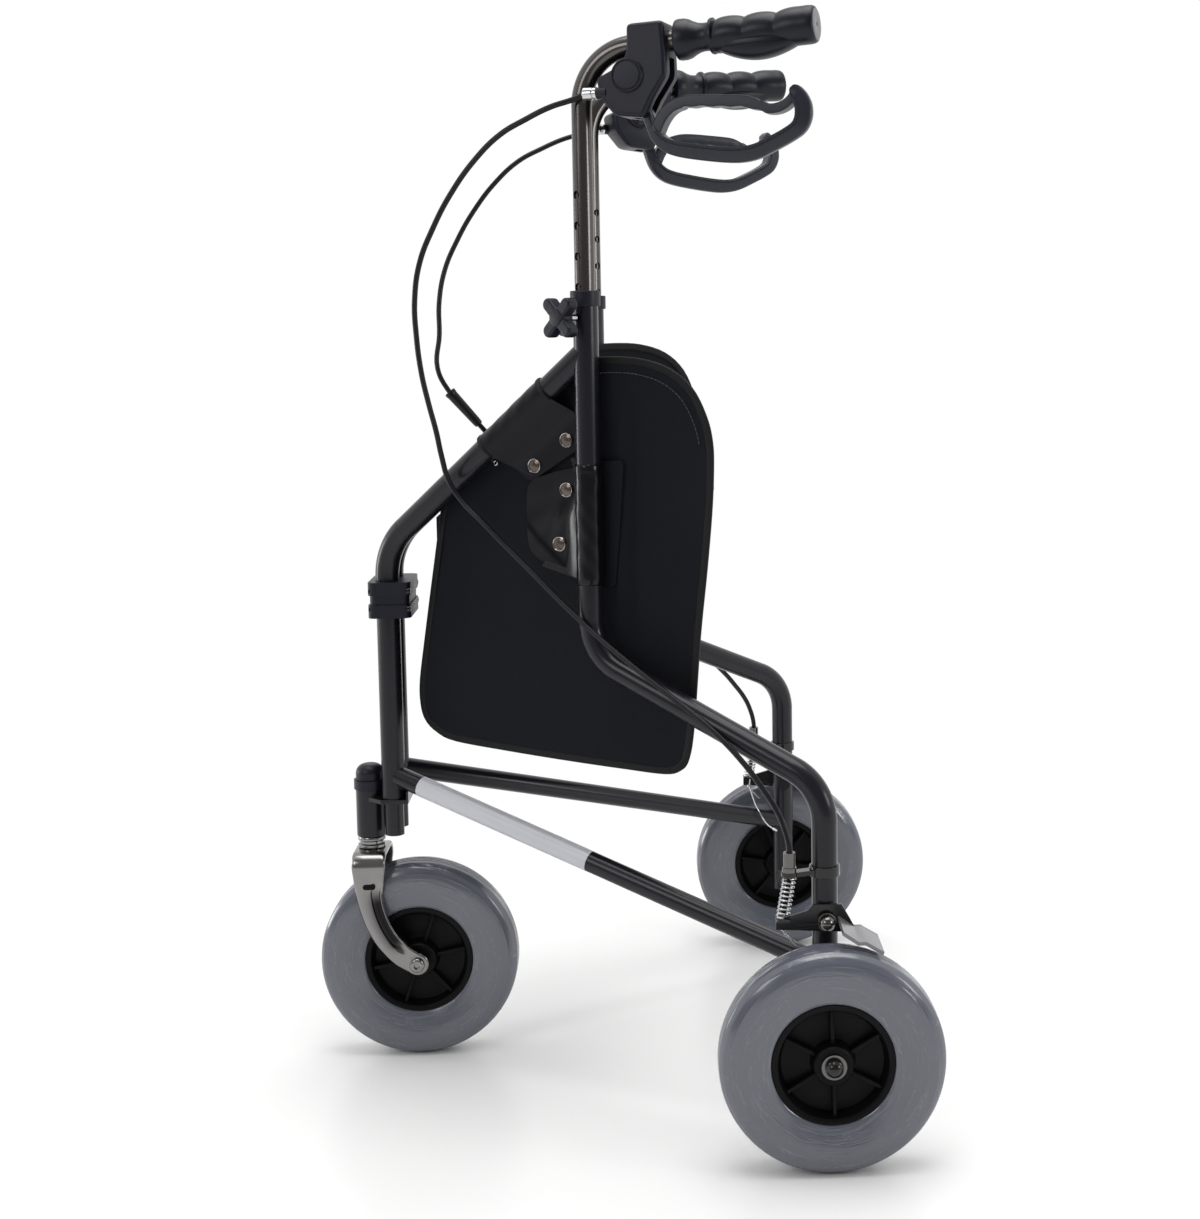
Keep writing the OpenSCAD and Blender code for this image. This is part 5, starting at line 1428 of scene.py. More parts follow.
@dataclass
class Bag:
    """Hanging bag: two sewn side panels, a sagging gusset, straps, snaps and stitching."""

    panel_x: float = 12.8
    panel_t: float = 2.5
    cloth_t: float = 1.4
    edge_line: tuple[Point2, ...] = (
        (58.7, 541.0), (51.0, 499.0), (43.0, 456.0), (35.0, 412.0), (27.8, 370.0), (27.6, 348.0),
        (32.0, 333.5), (44.0, 323.5), (64.0, 317.0), (120.0, 313.2), (187.0, 310.0), (250.0, 308.0),
        (289.0, 307.4), (303.5, 311.5), (311.0, 321.5), (316.5, 352.0), (323.8, 432.0), (331.0, 490.0),
        (336.4, 540.5), (338.6, 578.0), (338.0, 602.0), (332.4, 624.0), (319.2, 647.5), (298.0, 663.5),
        (270.0, 671.6), (240.0, 673.2), (206.0, 671.5))
    tube_line: tuple[Point2, ...] = ((196.0, 660.0), (150.0, 621.0), (100.0, 580.0))
    lift: float = 10.0
    slope_foot: Point2 = (117.5, 594.0)
    slope_head: Point2 = (184.5, 648.73)
    upright_low: float = 474.0
    upright_high: float = 582.0
    edge_wide: float = 4.5
    flap_top: tuple[Point2, ...] = (
        (151, 548), (152.4, 557), (155, 562), (160, 566), (184, 573), (222, 581))
    flap_bottom: tuple[Point2, ...] = (
        (151, 514), (152.4, 505), (155, 499.6), (163, 493), (190, 483), (222, 475))
    flap_off: float = 0.15
    flap_t: float = 1.2
    tab_edge: tuple[Point2, ...] = (
        (226, 583), (250, 585), (253, 582), (249, 530), (243, 474), (240, 471), (226, 471))
    tent_off: float = 1.8
    tent_meets: float = 30.0
    tent_t: float = 1.1
    snaps: tuple[Point2, ...] = ((195.0, 602.0), (160.5, 578.0), (194.0, 557.0), (185.5, 507.5))
    eyelet: Point2 = (117.5, 579.5)
    gusset_t: float = 1.2
    gusset_front: float = 46.0
    gusset_back: float = 298.0
    gusset_low: Point2 = (330.0, 317.0)
    gusset_top: float = 526.0

    def outline(self, lift: float) -> list[Point2]:
        """The panel's edge, in distance behind the hinge and height.

        Args:
            lift: how much higher the top edge of this panel stands.

        Returns:
            Points round the panel.
        """
        out = []
        for s, z in smooth_line(self.edge_line, 4) + list(self.tube_line):
            share = min(1.0, max(0.0, (z - 590.0) / 80.0)) if s > 200.0 else 0.0
            out.append((s, z + lift * share * share * (3 - 2 * share)))
        return out

    def sag(self, s: float, z: float) -> float:
        """How far the cloth stands in from flat at a place, in millimetres."""
        soft = 1.5 * math.sin(s * 0.021 + z * 0.008) + 0.9 * math.sin(s * 0.047 - z * 0.019 + 1.3)
        soft += 0.6 * math.sin(z * 0.041 + s * 0.012)
        high = min(1.0, max(0.0, (z - 400.0) / 60.0)) * min(1.0, max(0.0, (660.0 - z) / 50.0))
        folds = sum(a * math.exp(-((s - c - 0.03 * (z - 520.0)) / w) ** 2) for a, c, w in
                    ((1.5, 246.0, 5.0), (-1.2, 256.0, 6.0), (0.9, 268.0, 7.0), (0.7, 297.0, 12.0)))
        return 2.4 + soft * 0.55 - folds * high

    def panel(self, name: str, lift: float) -> Piece:
        """Shapes a side panel from a fine grid that waves a little.

        Args:
            name: name of the piece.
            lift: how much higher its top edge stands.

        Returns:
            The panel in the side frame's own axes.
        """
        edge = self.outline(lift)
        low, high = min(p[0] for p in edge), max(p[0] for p in edge)
        start_clean()
        bpy.ops.mesh.primitive_grid_add(x_subdivisions=110, y_subdivisions=90, size=1.0)
        panel = bpy.context.object
        panel.name = name
        for v in panel.data.vertices:
            u, t = v.co.x + 0.5, v.co.y + 0.5
            s = low + (high - low) * (0.0005 + 0.999 * u)
            heights = []
            for a, b in zip(edge, edge[1:] + edge[:1]):
                if (a[0] - s) * (b[0] - s) <= 0 and a[0] != b[0]:
                    heights.append(a[1] + (b[1] - a[1]) * (s - a[0]) / (b[0] - a[0]))
            z = min(heights) + (max(heights) - min(heights)) * t
            near = min(1.0, min(t, 1 - t) * 8, min(u, 1 - u) * 8)
            v.co = Vector((-(self.panel_x + 0.8 + self.sag(s, z) * near) * MM, s * MM, z * MM))
        tidy_normals(panel)
        skin = panel.modifiers.new("cloth_thickness", "SOLIDIFY")
        skin.thickness = self.cloth_t * MM
        skin.offset = 0.0
        apply_modifiers(panel)
        smooth(panel, 60)
        return panel

    def binding(self, name: str, lift: float) -> Piece:
        """Sews a folded tape round a panel's edge."""
        edge = self.outline(lift)
        offset = -(self.panel_x + 1.3)

        def tape(depth: float) -> list[Point2]:
            """Section of the tape, set off to the panel."""
            return [(offset + u, v) for u, v in rounded_rect(3.4, depth, 1.5, 3)]

        return flat_bar(name, edge, [7.0] * len(edge), tape, Ends.RING)

    def stitches(self, line: Sequence[Point2], x: float, pitch: float, name: str, slant: float = 0.0,
                 size: float = 2.5, radius: float = 0.4) -> Piece:
        """Lays a row of short threads along a line on the panel.

        Args:
            line: the row, in distance behind the hinge and height.
            x: how far the row stands outwards.
            pitch: distance between stitches in millimetres.
            name: name of the piece.
            slant: turn of each thread from the row in degrees.
            size: length of each thread.
            radius: radius of the thread.

        Returns:
            The row as one mesh.
        """
        bend = [(0, -size / 2, -0.25), (0, -size / 4, 0.3), (0, size / 4, 0.3), (0, size / 2, -0.25)]
        thread = swept_rod("thread_pattern", bend, radius, 1, bezier=False)
        base = thread.data.copy()
        copies = []
        carry = pitch / 2
        for a, b in zip(line, line[1:]):
            run = Vector(b) - Vector(a)
            at = carry
            while at < run.length:
                spot = Vector(a) + run * at / run.length
                turn = math.atan2(run.y, run.x) + math.radians(slant)
                copy = bpy.data.objects.new("thread", base.copy())
                bpy.context.scene.collection.objects.link(copy)
                lay = shift_by(x, spot.x, spot.y) @ Matrix.Rotation(turn, 4, "X")
                copy.data.transform(lay @ turn_by(90, "Y"))
                copies.append(copy)
                at += pitch
            carry = at - run.length
        row = joined(copies, name)
        bpy.data.objects.remove(thread)
        smooth(row, 60)
        return row

    def sleeve(self, name: str, foot: Point2, head: Point2, extra: float, ripple: float) -> Piece:
        """Makes a vinyl sleeve round a tube between two places in the side frame.

        Args:
            name: name of the piece.
            foot: lower place, distance behind the hinge and height.
            head: upper place.
            extra: how far its face stands off the tube.
            ripple: depth of its wrinkles.

        Returns:
            The sleeve.
        """
        run = Vector(head) - Vector(foot)
        size = run.length
        rows: list[list[Point3]] = []
        places = [0.0, 0.0, 0.4] + [1.2 + (size - 2.4) * i / 22 for i in range(23)] + [size - 0.4, size, size]
        for i, at in enumerate(places):
            inner = i in (0, len(places) - 1)
            edge = min(1.0, at / 1.2, (size - at) / 1.2) if size else 0.0
            row = []
            for k in range(48):
                a = 2 * math.pi * k / 48
                wave = ripple * math.sin(3 * a + at * 0.11) * math.sin(at * 0.19 + 2 * a) * edge
                r = LAYOUT.tube_r + 0.1 if inner else LAYOUT.tube_r + 0.5 + (extra - 0.5) * edge + wave
                row.append((r * math.cos(a), r * math.sin(a), at))
            rows.append(row)
        sleeve = loft(name, rows, Ends.RING)
        lean = math.atan2(run.y, run.x) - math.pi / 2
        return placed(sleeve, shift_by(0, *foot) @ Matrix.Rotation(lean, 4, "X"))

    def flap(self, name: str, outline: Sequence[Point2], x: float, thick: float = 1.2) -> Piece:
        """Cuts a flat flap of vinyl with softened edges."""
        sheet = outline_mesh(name, outline, thick)
        placed(sheet, shift_by(x, 0, 0))
        bevel(sheet, 0.5, 2)
        return sheet

    def draped(self, name: str, top: Sequence[Point2], bottom: Sequence[Point2]) -> Piece:
        """Hangs a flap between two edges, with soft folds where it pulls round the tube.

        Args:
            name: name of the piece.
            top: places along its upper edge, front to back.
            bottom: places along its lower edge.

        Returns:
            The flap.
        """
        def height(edge: Sequence[Point2], s: float) -> float:
            """Height of an edge at a distance behind the hinge."""
            for (s0, z0), (s1, z1) in zip(edge, edge[1:]):
                if s <= s1:
                    return z0 + (z1 - z0) * (s - s0) / (s1 - s0)
            return edge[-1][1]

        def face(s: float, z: float) -> float:
            """How far out the flap lies at a place, where it pulls round the tube."""
            start = min(217.0, 191.0 + 0.6 * max(0.0, z - 534.0))
            turn = min(1.0, max(0.0, (s - start) / (219.0 - start)))
            pull = (8.5 - 0.09 * max(0.0, z - 530.0)) * turn * turn * (3 - 2 * turn)
            pull += 1.1 * math.exp(-((s - 186.0 - 0.45 * (z - 532.0)) / 4.5) ** 2 - ((z - 532.0) / 13.0) ** 2)
            return pull - LAYOUT.tube_r - self.flap_off

        def reach(z: float) -> float:
            """Where the flap ends at a height, just inside the tube's wall."""
            s = 205.0
            while s < top[-1][0] and math.hypot(s - LAYOUT.upright_s, face(s, z)) > LAYOUT.tube_r - 0.7:
                s += 0.2
            return s

        rows: list[list[Point3]] = []
        first, last = top[0][0], top[-1][0]
        for k in range(45):
            share = (k / 44) ** 1.25
            s = first + (last - first) * share
            high, low = height(top, s), height(bottom, s)
            front = []
            for i in range(27):
                z = high + (low - high) * i / 26
                at = first + (reach(z) - first) * share
                front.append((face(at, z), at, z))
            rows.append(front + [(x - self.flap_t, at, z) for x, at, z in reversed(front)])
        return loft(name, rows, Ends.CAPPED)

    def tented(self, name: str) -> Piece:
        """Stretches a flap from the outer side of the sloping tube down to the panel.

        Args:
            name: name of the piece.

        Returns:
            The flap.
        """
        run = (Vector(self.slope_head) - Vector(self.slope_foot)).normalized()
        across = Vector((run.y, -run.x))
        wide = LAYOUT.tube_r + self.tent_off
        flat = -(LAYOUT.tube_r + self.flap_off)
        leaves = math.atan2(self.tent_meets, flat) - math.acos(wide / math.hypot(self.tent_meets, flat))
        hug = [leaves - math.radians(24.0 - 6.0 * i) for i in range(5)]
        front, back = wide * math.cos(leaves), wide * math.sin(leaves)
        fall = (flat - front) / (self.tent_meets - back)
        rows: list[list[Point3]] = []
        for v in spread((0.0, 1.0), 41):
            low = 48.4 + 9.3 * v - 3.0 * max(0.0, 0.06 - v) / 0.06 - 6.0 * max(0.0, v - 0.88) / 0.12
            line = [(wide * math.cos(a), wide * math.sin(a)) for a in hug]
            for q in spread((back, low), 25)[1:]:
                line.append((flat + 2.0 * math.log1p(math.exp((front + fall * (q - back) - flat) / 2.0)), q))
            loop = line + [(x - self.tent_t, q - 0.3) for x, q in reversed(line)]
            row = []
            for x, q in loop:
                first = 0.9 + 0.22 * max(0.0, q - 7.0)
                last = 85.0 + 0.15 * max(0.0, min(q, 36.0) - 8.0) - 0.69 * max(0.0, q - 36.0)
                spot = Vector(self.slope_foot) + run * (first + (last - first) * v) + across * q
                row.append((x, spot.x, spot.y))
            rows.append(row)
        return loft(name, rows, Ends.CAPPED)

    def straps(self) -> dict[str, tuple[Piece, str]]:
        """Straps round the sloping tube and the upright with their flaps and edge tapes."""
        high = (LAYOUT.upright_s, self.upright_high)
        low = (LAYOUT.upright_s, self.upright_low)
        run = (Vector(self.slope_head) - Vector(self.slope_foot)).normalized()
        inside = tuple(Vector(self.slope_foot) + run * self.edge_wide)
        outside = tuple(Vector(self.slope_head) - run * self.edge_wide)
        slope = joined([self.sleeve("slope", self.slope_foot, self.slope_head, 1.5, 0.35),
                        self.tented("slope_flap")], "slope_strap")
        upright = joined([self.sleeve("upright", low, high, 1.3, 0.3),
                          self.draped("upright_flap", self.flap_top, self.flap_bottom)], "upright_strap")
        tab = self.flap("upright_tab", self.tab_edge, -(LAYOUT.tube_r + 1.2), 1.0)
        edges = joined([self.sleeve("edge", self.slope_foot, inside, 2.3, 0.25),
                        self.sleeve("edge", outside, self.slope_head, 2.3, 0.25)], "strap_edge")
        for obj in (slope, upright, tab, edges):
            smooth(obj, 40)
        return {"slope_strap": (slope, "slope_vinyl"), "upright_strap": (upright, "strap_vinyl"),
                "upright_tab": (tab, "bag_cloth"), "strap_edge": (edges, "bag_binding")}

    def gusset(self) -> Piece:
        """Front, bottom and back of the bag as one folded sheet that sags."""
        count = 28
        start_clean()
        bpy.ops.mesh.primitive_grid_add(x_subdivisions=count, y_subdivisions=3 * count, size=1.0)
        sheet = bpy.context.object
        sheet.name = "bag_gusset_dressed"
        a = math.radians(LAYOUT.open_angle)
        inner = self.panel_x + self.panel_t + 2.6
        low_front, low_back = self.gusset_low

        def edge(s: float) -> Point2:
            """Place of the left panel's inner face at a distance behind the hinge."""
            return (LAYOUT.hinge_half + s * math.sin(a) - inner * math.cos(a),
                    LAYOUT.hinge_y + s * math.cos(a) + inner * math.sin(a))

        for v in sheet.data.vertices:
            u, t = 2 * v.co.x, v.co.y + 0.5
            dip = 1 - u * u
            if t < 0.28:
                f = 1 - t / 0.28
                x, y = edge(self.gusset_front)
                z = low_front + (self.gusset_top - low_front) * f
                y += 2.0 * dip * math.sin(math.pi * f)
            elif t < 0.66:
                f = (t - 0.28) / 0.38
                x, y = edge(self.gusset_front + (self.gusset_back - self.gusset_front) * f)
                z = low_front - (low_front - low_back) * f - 13.0 * dip * math.sin(math.pi * f) ** 0.7
            else:
                f = (t - 0.66) / 0.34
                x, y = edge(self.gusset_back)
                z = low_back + (self.gusset_top - low_back) * f - 12.0 * dip * f
                y -= (7.0 * dip + 2.0 * math.cos(u * 11.0)) * math.sin(math.pi * min(1.0, f * 0.6))
            v.co = Vector((u * (x - 1.0), y, z)) * MM
        tidy_normals(sheet)
        skin = sheet.modifiers.new("cloth_thickness", "SOLIDIFY")
        skin.thickness = self.gusset_t * MM
        skin.offset = 0.0
        apply_modifiers(sheet)
        smooth(sheet, 60)
        return sheet

    def build_panels(self, paints: Paints, place: Matrix) -> None:
        """Makes the two side panels with their tapes and seams; the right one stands a little higher."""
        for side in Side:
            lift = 0.0 if side is Side.LEFT else self.lift
            matrix = place if side is Side.LEFT else MIRROR @ place
            edge = self.outline(lift)
            middle = Vector((200.0, 480.0))
            inset = [tuple(Vector(p) + (middle - Vector(p)).normalized() * 11.0) for p in edge]
            sewn = [p for p in inset if p[0] > 206.0 and p[1] > 600.0]
            panel = placed(self.panel(f"{side.word}_bag_side", lift), matrix)
            tape = placed(self.binding(f"{side.word}_bag_binding", lift), matrix)
            row = self.stitches(sewn, -(self.panel_x - 0.7), 4.0, f"{side.word}_bag_seam", size=2.7)
            seam = placed(row, matrix)
            finish_piece(panel, paints, "bag_cloth", f"{side.word}_side", [f"{side.word}_bag_panel"])
            finish_piece(tape, paints, "bag_binding", f"{side.word}_side")
            finish_piece(seam, paints, "stitch_thread", f"{side.word}_side")

    def build(self, paints: Paints) -> None:
        """Builds the panels, straps, stitching, snaps and the gusset."""
        place = LAYOUT.side_matrix()
        self.build_panels(paints, place)
        face = -(LAYOUT.tube_r + 0.1)
        parts = self.straps()
        hatch = joined([self.stitches([(168, 489), (210, 478)], face, 1.9, "hatch", 68.0, 6.5, 0.45),
                        self.stitches([(202, 586), (206, 570)], face, 1.9, "hatch", 68.0, 6.0, 0.45),
                        self.stitches([(118, 585), (158, 569)], face, 2.6, "hatch", 0.0, 1.8, 0.35)],
                       "strap_seam")
        parts["strap_seam"] = (hatch, "dark_thread")
        for key, (obj, paint) in parts.items():
            placed(obj, place).name = f"left_{key}"
            finish_pair(obj, paints, paint, "side", "bag_straps" if key == "upright_strap" else "")
        self.build_snaps(paints, place)
        sheet = self.gusset()
        paints.put(sheet, "bag_cloth")
        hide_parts("bag_gusset")
        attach(sheet, "head")
        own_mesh(sheet)

    def build_snaps(self, paints: Paints, place: Matrix) -> None:
        """Domed snaps on the straps with a rolled rim, whose bright plate against the dark cap is a painted
        highlight, and a small eyelet.
        """
        snap = lathe("snap_pattern", [
            (0.0, 2.1), (2.6, 1.95), (4.6, 1.5), (5.6, 1.1), (5.9, 1.0), (5.9, 0.0), (0.0, 0.0)], 36)
        rim = lathe("rim_pattern", [
            (5.7, 0.0), (5.7, 1.2), (5.95, 1.75), (6.3, 1.9), (6.75, 1.5), (7.0, 0.8), (7.0, 0.0),
            (5.7, 0.0)], 36)
        smooth(snap, 50)
        smooth(rim, 50)
        rims = []
        for index, (s, z) in enumerate(self.snaps):
            spot = place @ shift_by(-(LAYOUT.tube_r + 0.25), s, z) @ turn_by(90, "Y")
            finish_pair(twin(snap, f"left_snap_{index}", spot), paints, "snap_brass", "side")
            rims.append(twin(rim, f"snap_rim_{index}", spot))
        bpy.data.objects.remove(snap)
        bpy.data.objects.remove(rim)
        # The rims take bright plate and the caps dark brass: the rolled rim is real, its brightness a painted
        # highlight.
        finish_pair(joined(rims, "left_snap_rims"), paints, "bright_plate", "side")
        ring = lathe("left_bag_eyelet", [
            (1.1, 0.0), (1.2, 0.7), (1.8, 1.0), (2.5, 0.7), (2.7, 0.0), (1.1, 0.0)], 24)
        placed(ring, place @ shift_by(-(self.panel_x - 0.2), *self.eyelet) @ turn_by(90, "Y"))
        smooth(ring, 50)
        finish_pair(ring, paints, "bright_plate", "side")


@dataclass
class SilverBand:
    """Bare silver band round the left brace."""

    first: float = 34.0
    last: float = 226.0
    brace_front: Point2 = (0.0, 279.0)
    brace_rear: Point2 = (451.0, 155.0)

    def build(self, paints: Paints) -> None:
        """Wraps a thin sleeve with turned edges on the brace."""
        run = Vector(self.brace_rear) - Vector(self.brace_front)
        r = LAYOUT.brace_r
        size = self.last - self.first
        band = lathe("left_bare_band", [
            (r + 0.02, 0.0), (r + 0.16, 0.05), (r + 0.18, 1.0), (r + 0.18, size - 1.0),
            (r + 0.16, size - 0.05), (r + 0.02, size), (r + 0.02, 0.0)], 64)
        spot = Vector(self.brace_front) + run.normalized() * self.first
        lean = math.atan2(run.y, run.x) - math.pi / 2
        placed(band, LAYOUT.side_matrix() @ shift_by(0, *spot) @ Matrix.Rotation(lean, 4, "X"))
        smooth(band, 40)
        finish_piece(band, paints, "band_silver", "left_side")


@dataclass
class Knob:
    """Four-lobed tightening knob on the collar: a rounded star with a turned boss and face, and its bolt."""

    height: float = 711.0
    turn: float = -45.0
    reach: float = 24.0
    thick: float = 12.0
    hub_r: float = 10.0
    arm: float = 16.0
    lobe_r: float = 5.9
    bolt_r: float = 3.0
    bolt_from: float = 12.3

    def outline(self) -> list[Point2]:
        """Edge of the knob: a round lobe at each quarter with a hollow between two lobes."""
        points: list[Point2] = []
        for quarter in range(4):
            middle = math.radians(45 + 90 * quarter)
            for k in range(9):
                a = middle + math.radians(-80 + 20 * k)
                points.append((self.arm * math.cos(middle) + self.lobe_r * math.cos(a),
                               self.arm * math.sin(middle) + self.lobe_r * math.sin(a)))
            between = middle + math.radians(45)
            points.append((self.hub_r * 0.78 * math.cos(between), self.hub_r * 0.78 * math.sin(between)))
        return points

    def build(self, paints: Paints) -> None:
        """Makes both knobs with their bolts."""
        star = outline_mesh("left_knob_dressed", self.outline(), self.thick)
        bevel(star, 2.6, 3, 50)
        lift = shift_by(0, 0, self.reach + self.thick / 2)
        placed(star, lift @ turn_by(-90, "Y"))
        boss = lathe("knob_boss", [
            (0.0, self.reach - 3.2), (5.6, self.reach - 3.2), (6.4, self.reach - 2.4),
            (6.8, self.reach + 1.0), (0.0, self.reach + 1.0)], 32)
        face = lathe("knob_face", [
            (0.0, self.reach + 11.0), (7.4, self.reach + 11.0), (7.4, self.reach + 12.3),
            (6.6, self.reach + 12.9), (0.0, self.reach + 12.9)], 32)
        bolt = lathe("left_knob_bolt", [
            (0.0, self.bolt_from), (self.bolt_r, self.bolt_from), (self.bolt_r, self.reach - 3.0),
            (0.0, self.reach - 3.0)], 24)
        foot = LAYOUT.side_matrix() @ Vector((0, LAYOUT.upright_s * MM, 0))
        lay = Matrix.Translation((foot.x, foot.y, self.height * MM))
        lay = lay @ turn_by(self.turn, "Z") @ turn_by(90, "Y")
        star = joined([star, boss, face], "left_knob_dressed")
        for obj in (star, bolt):
            placed(obj, lay)
            smooth(obj, 40)
            even_faces(obj)
        finish_pair(star, paints, "moulded_black", "clamp", "knob")
        finish_pair(bolt, paints, "bright_plate", "clamp")


@dataclass
class BrakeHousing:
    """Moulded brake housing on each handle with its lever slot, pivot caps and bright cable adjuster."""

    edge: tuple[Point2, ...] = (
        (48.0, 19.0), (81.0, 20.5), (83.5, -9.5), (84.0, -25.5), (71.0, -44.5), (63.0, -60.5),
        (36.0, -57.5), (23.0, -42.5), (19.5, -25.5), (42.0, -15.0), (47.5, -4.5))
    slot: tuple[Point2, ...] = ((36.0, -9.5), (90.0, -9.5), (90.0, -68.5), (58.0, -68.5), (36.0, -45.5))
    thick: float = 34.0
    slot_w: float = 13.0
    rounding: float = 4.0
    pivot: Point2 = (49.0, 916.0)
    half: float = 18.5
    nipple_out: float = 13.6
    nipple_s: float = 23.0
    nipple_z: float = 902.5

    def shell(self) -> Piece:
        """Rounds the housing's block and cuts the slot for the lever."""
        shell = outline_mesh("left_housing_dressed", [(s, LAYOUT.handle_z + z) for s, z in self.edge],
                             self.thick)
        bevel(shell, self.rounding, 3, 25)
        cut = outline_mesh("slot_cut", [(s, LAYOUT.handle_z + z) for s, z in self.slot], self.slot_w)
        mod = shell.modifiers.new("slot", "BOOLEAN")
        mod.operation = "DIFFERENCE"
        mod.solver = "EXACT"
        mod.object = cut
        apply_modifiers(shell)
        bpy.data.objects.remove(cut)
        neck = lathe("nipple", [(0.0, -6.0), (4.9, -6.0), (4.9, 4.0), (0.0, 4.0)], 32)
        spot = shift_by(self.nipple_out, self.nipple_s, self.nipple_z)
        placed(neck, spot @ turn_by(90, "X"))
        return joined([shell, neck], "left_housing_dressed")

    def caps(self) -> Piece:
        """Lathes the round cap with its groove on each end of the pivot."""
        caps = []
        for s in (-1, 1):
            cap = lathe("pivot_cap", [
                (0.0, 1.0), (11.0, 0.9), (11.6, 0.7), (12.0, 0.0), (12.5, 0.0), (12.8, 0.5), (13.4, 0.7),
                (14.0, 0.5), (14.5, -0.2), (14.5, -2.6), (0.0, -2.6)], 56)
            spot = shift_by(s * self.half, *self.pivot)
            caps.append(placed(cap, spot @ turn_by(90 * s, "Y")))
        return joined(caps, "left_pivot_caps")

    def adjuster(self) -> Piece:
        """Lathes the cable adjuster with its lock nut."""
        barrel = lathe("left_cable_adjuster", [
            (3.2, 3.0), (5.15, 3.0), (5.5, 3.4), (5.5, 5.6), (5.15, 6.0), (4.6, 6.2), (4.6, 6.8),
            (5.3, 7.0), (5.6, 7.5), (5.6, 14.6), (5.2, 15.2), (4.0, 15.8), (3.2, 15.8), (3.2, 3.0)], 40)
        spot = shift_by(self.nipple_out, self.nipple_s, self.nipple_z)
        return placed(barrel, spot @ turn_by(90, "X"))

    def build(self, paints: Paints) -> None:
        """Makes the pieces of both sides."""
        pieces = {"housing_dressed": (self.shell(), "moulded_black", "black"),
                  "pivot_caps": (self.caps(), "moulded_black", "black"),
                  "cable_adjuster": (self.adjuster(), "bright_plate", "bright")}
        for key, (obj, paint, slot) in pieces.items():
            placed(obj, LAYOUT.handle_matrix())
            smooth(obj, 35)
            even_faces(obj)
            stands = "brake_housing" if key == "housing_dressed" else ""
            finish_pair(obj, paints, paint, "handle", stands)


class Hardware:
    """Construction nodes that stay in view, with their finish and softened edges."""

    PAINT = {
        "head_tube": "frame_paint", "head_cap": "moulded_black", "head_bushes": "moulded_black",
        "hinge_pins": "frame_paint", "hinge_block_front": "moulded_black",
        "hinge_block_rear": "moulded_black", "hinge_block_screws": "gloss_black",
        "caster_stem": "bright_plate", "front_bearings": "hub_black", "front_tube": "frame_paint",
        "rear_tube": "frame_paint", "brace": "frame_paint", "collar": "moulded_black",
        "axle": "bright_outside", "bearings": "hub_black", "handle_tube": "handle_metal",
        "brake_arm": "arm_and_shoe", "cable_bracket": "gloss_black", "brake_fittings": "bright_outside",
        "brake_wire": "bright_plate", "stay_link": "frame_paint"}
    ROUND = {"hinge_block_front": 1.2, "hinge_block_rear": 1.2, "collar": 1.0, "brake_arm": 0.5,
             "cable_bracket": 0.6, "head_tube": 0.6, "head_cap": 1.0, "brake_fittings": 0.5, "stay_link": 0.6}
    SCREW = ((0.0, 0.5), (1.2, 0.5), (1.3, 0.9), (2.0, 0.95), (2.7, 0.7), (3.0, 0.2), (3.0, -2.5),
             (0.0, -2.5))
    SCREW_X = 30.55
    SCREW_Y = 22.2
    SCREW_Z = (440.5, 457.5)
    NUT = ((0.0, 83.0), (3.0, 82.6), (5.4, 81.0), (6.5, 79.2), (7.0, 78.8), (7.7, 78.4), (7.9, 77.8),
           (7.9, 74.9), (0.0, 74.9))

    def build(self, paints: Paints, nodes: dict[str, Piece]) -> None:
        """Paints every remaining node, softens the moulded ones and caps the rear axles."""
        for name, obj in nodes.items():
            plain = name if name in self.PAINT else name.replace("left_", "").replace("right_", "")
            if plain in self.PAINT:
                paints.put(obj, self.PAINT[plain])
            smooth(obj, 32)
            if plain in self.ROUND:
                soften_node(obj, self.ROUND[plain])
                even_faces(obj, live=True)
        heads = []
        for x in (-1, 0, 1):
            for z in self.SCREW_Z:
                head = lathe("screw", self.SCREW, 20)
                spot = shift_by(x * self.SCREW_X, LAYOUT.hinge_y + self.SCREW_Y, z)
                heads.append(placed(head, spot @ turn_by(-90, "X")))
        screws = joined(heads, "hinge_block_screw_heads")
        smooth(screws, 40)
        finish_piece(screws, paints, "gloss_black", "head", ["hinge_block_screws"])
        nut = lathe("left_axle_nut", self.NUT, 40)
        spot = shift_by(*LAYOUT.leg, LAYOUT.wheel_r)
        placed(nut, spot @ turn_by(90, "Y"))
        smooth(nut, 40)
        finish_pair(nut, paints, "gloss_black", "side")


